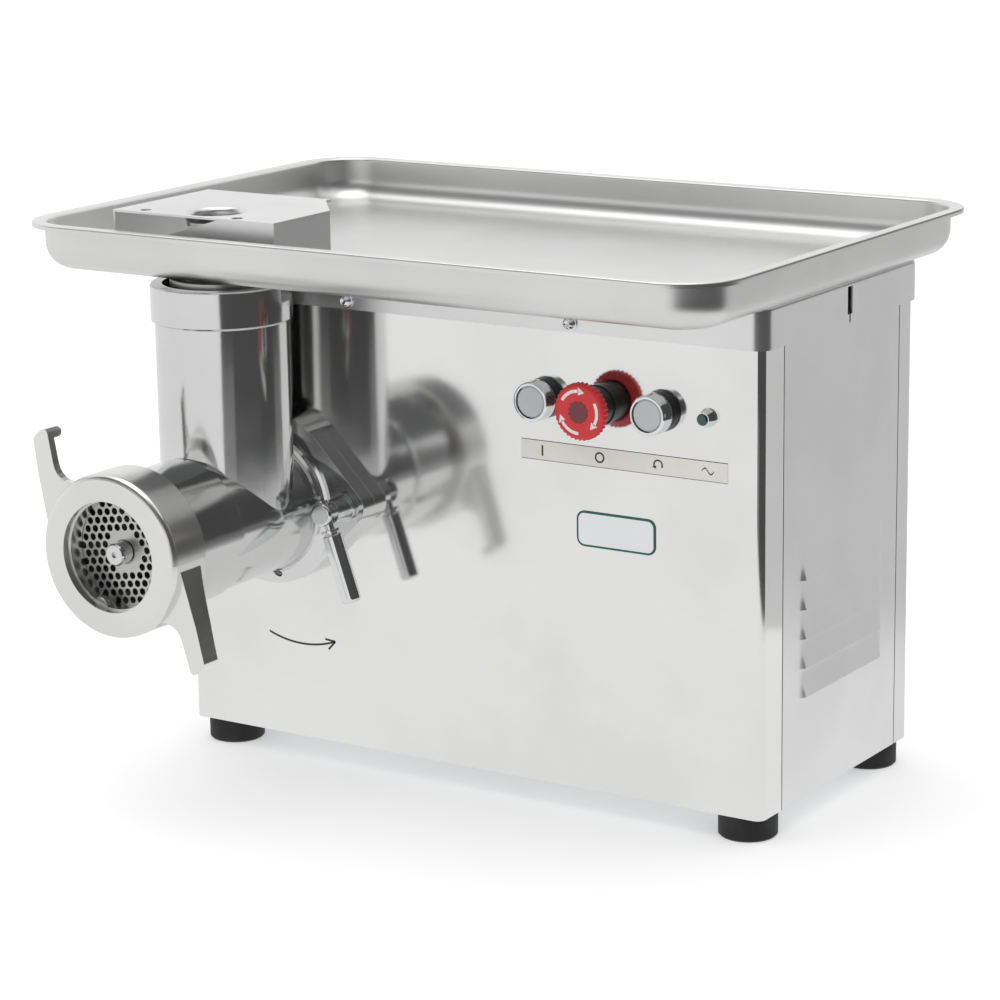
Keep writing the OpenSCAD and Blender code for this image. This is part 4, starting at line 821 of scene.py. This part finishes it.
def add_floor():
    """Pale floor that reads white to the camera and in reflections, and keeps the shadow."""
    bm = bmesh.new()
    bmesh.ops.create_grid(bm, x_segments=1, y_segments=1, size=12)
    mesh = bpy.data.meshes.new("floor")
    bm.to_mesh(mesh)
    bm.free()
    floor = bpy.data.objects.new("floor", mesh)
    bpy.context.scene.collection.objects.link(floor)
    surface = Surface("floor", Roughness=0.9, Specular_IOR_Level=0.1, Emission_Strength=1.0)
    path = surface.tree.nodes.new("ShaderNodeLightPath").outputs
    mirrored = Field(surface, path["Is Glossy Ray"])
    seen = surface.blend(Field(surface, path["Is Camera Ray"]), (0, 0, 0), (0.36, 0.36, 0.36))
    surface.set(
        Base_Color=surface.blend(mirrored, (0.78, 0.78, 0.78), (0, 0, 0)),
        Emission_Color=surface.blend(mirrored, seen, (0.89, 0.89, 0.89)),
    )
    mesh.materials.append(surface.material)


def add_card(name, centre, radius, start, end, foot, top, tone):
    """Curved card round a centre, from one bearing to another, that shows only in polished metal."""
    bm = bmesh.new()
    low = []
    high = []
    steps = 12
    for i in range(steps + 1):
        turn = math.radians(start + (end - start) * i / steps)
        spot = Vector(centre) + radius * Vector((math.cos(turn), math.sin(turn)))
        low.append(bm.verts.new((spot.x, spot.y, foot)))
        high.append(bm.verts.new((spot.x, spot.y, top)))
    for i in range(steps):
        bm.faces.new((low[i], low[i + 1], high[i + 1], high[i]))
    mesh = bpy.data.meshes.new(name)
    bm.to_mesh(mesh)
    bm.free()
    card = bpy.data.objects.new(name, mesh)
    bpy.context.scene.collection.objects.link(card)
    surface = Surface(name, Base_Color=(0, 0, 0), Roughness=1.0, Specular_IOR_Level=0.0,
                      Emission_Color=(tone, tone, tone), Emission_Strength=1.0)
    mesh.materials.append(surface.material)
    card.visible_camera = False
    card.visible_diffuse = False
    card.visible_shadow = False


def add_world():
    """White surroundings, with a dark part of the room high up in front."""
    world = bpy.data.worlds.new("studio")
    bpy.context.scene.world = world
    world.use_nodes = True
    paint = Paint(world.node_tree)
    world.node_tree.nodes.clear()
    path = world.node_tree.nodes.new("ShaderNodeLightPath").outputs
    direction = paint.node("ShaderNodeTexCoord", output="Generated")
    height = paint.node("ShaderNodeSeparateXYZ", inputs={0: direction}, output="Z")
    to_front = {0: direction, 1: Vector((0.09, -0.996, 0.0))}
    ahead = paint.node("ShaderNodeVectorMath", {"operation": "DOT_PRODUCT"}, to_front, output="Value")
    high = paint.step(height, 0.27, 0.42) * (1 - paint.step(height, 0.8, 0.95))
    dark = paint.step(ahead, 0.05, 0.3) * high
    in_metal = dark * Field(paint, path["Is Glossy Ray"])
    shade = paint.blend(in_metal, (0.95, 0.95, 0.95), (0.15, 0.15, 0.155))
    tone = paint.blend(Field(paint, path["Is Camera Ray"]), shade, (1, 1, 1))
    background = paint.node("ShaderNodeBackground", inputs={"Color": tone, "Strength": 1.0})
    output = world.node_tree.nodes.new("ShaderNodeOutputWorld")
    world.node_tree.links.new(background.socket, output.inputs["Surface"])


def add_lamp(name, at, aim, size, watts):
    """Square soft lamp aimed at a point."""
    data = bpy.data.lights.new(name, "AREA")
    data.shape = "RECTANGLE"
    data.size, data.size_y = size
    data.energy = watts
    lamp = bpy.data.objects.new(name, data)
    bpy.context.scene.collection.objects.link(lamp)
    lamp.location = at
    lamp.rotation_euler = (Vector(aim) - Vector(at)).to_track_quat("-Z", "Y").to_euler()


add_floor()
add_card("dark_card", NECK, 0.95, -36, 20, 0.0, 1.1, 0.075)
add_card("high_card", NECK, 0.95, -56, -36, 0.13, 1.1, 0.075)
add_card("soft_card", NECK, 0.95, -56, -36, 0.0, 0.13, 0.22)
add_card("grey_card", SIDE, 0.5, 25, 88, 0.0, 0.42, 0.62)
add_card("dim_card", SIDE, 0.5, 25, 88, 0.42, 1.2, 0.15)
add_world()
add_lamp("top_lamp", (-0.3, -0.2, 2.6), (0, 0, 0.2), (2.0, 2.0), 14)
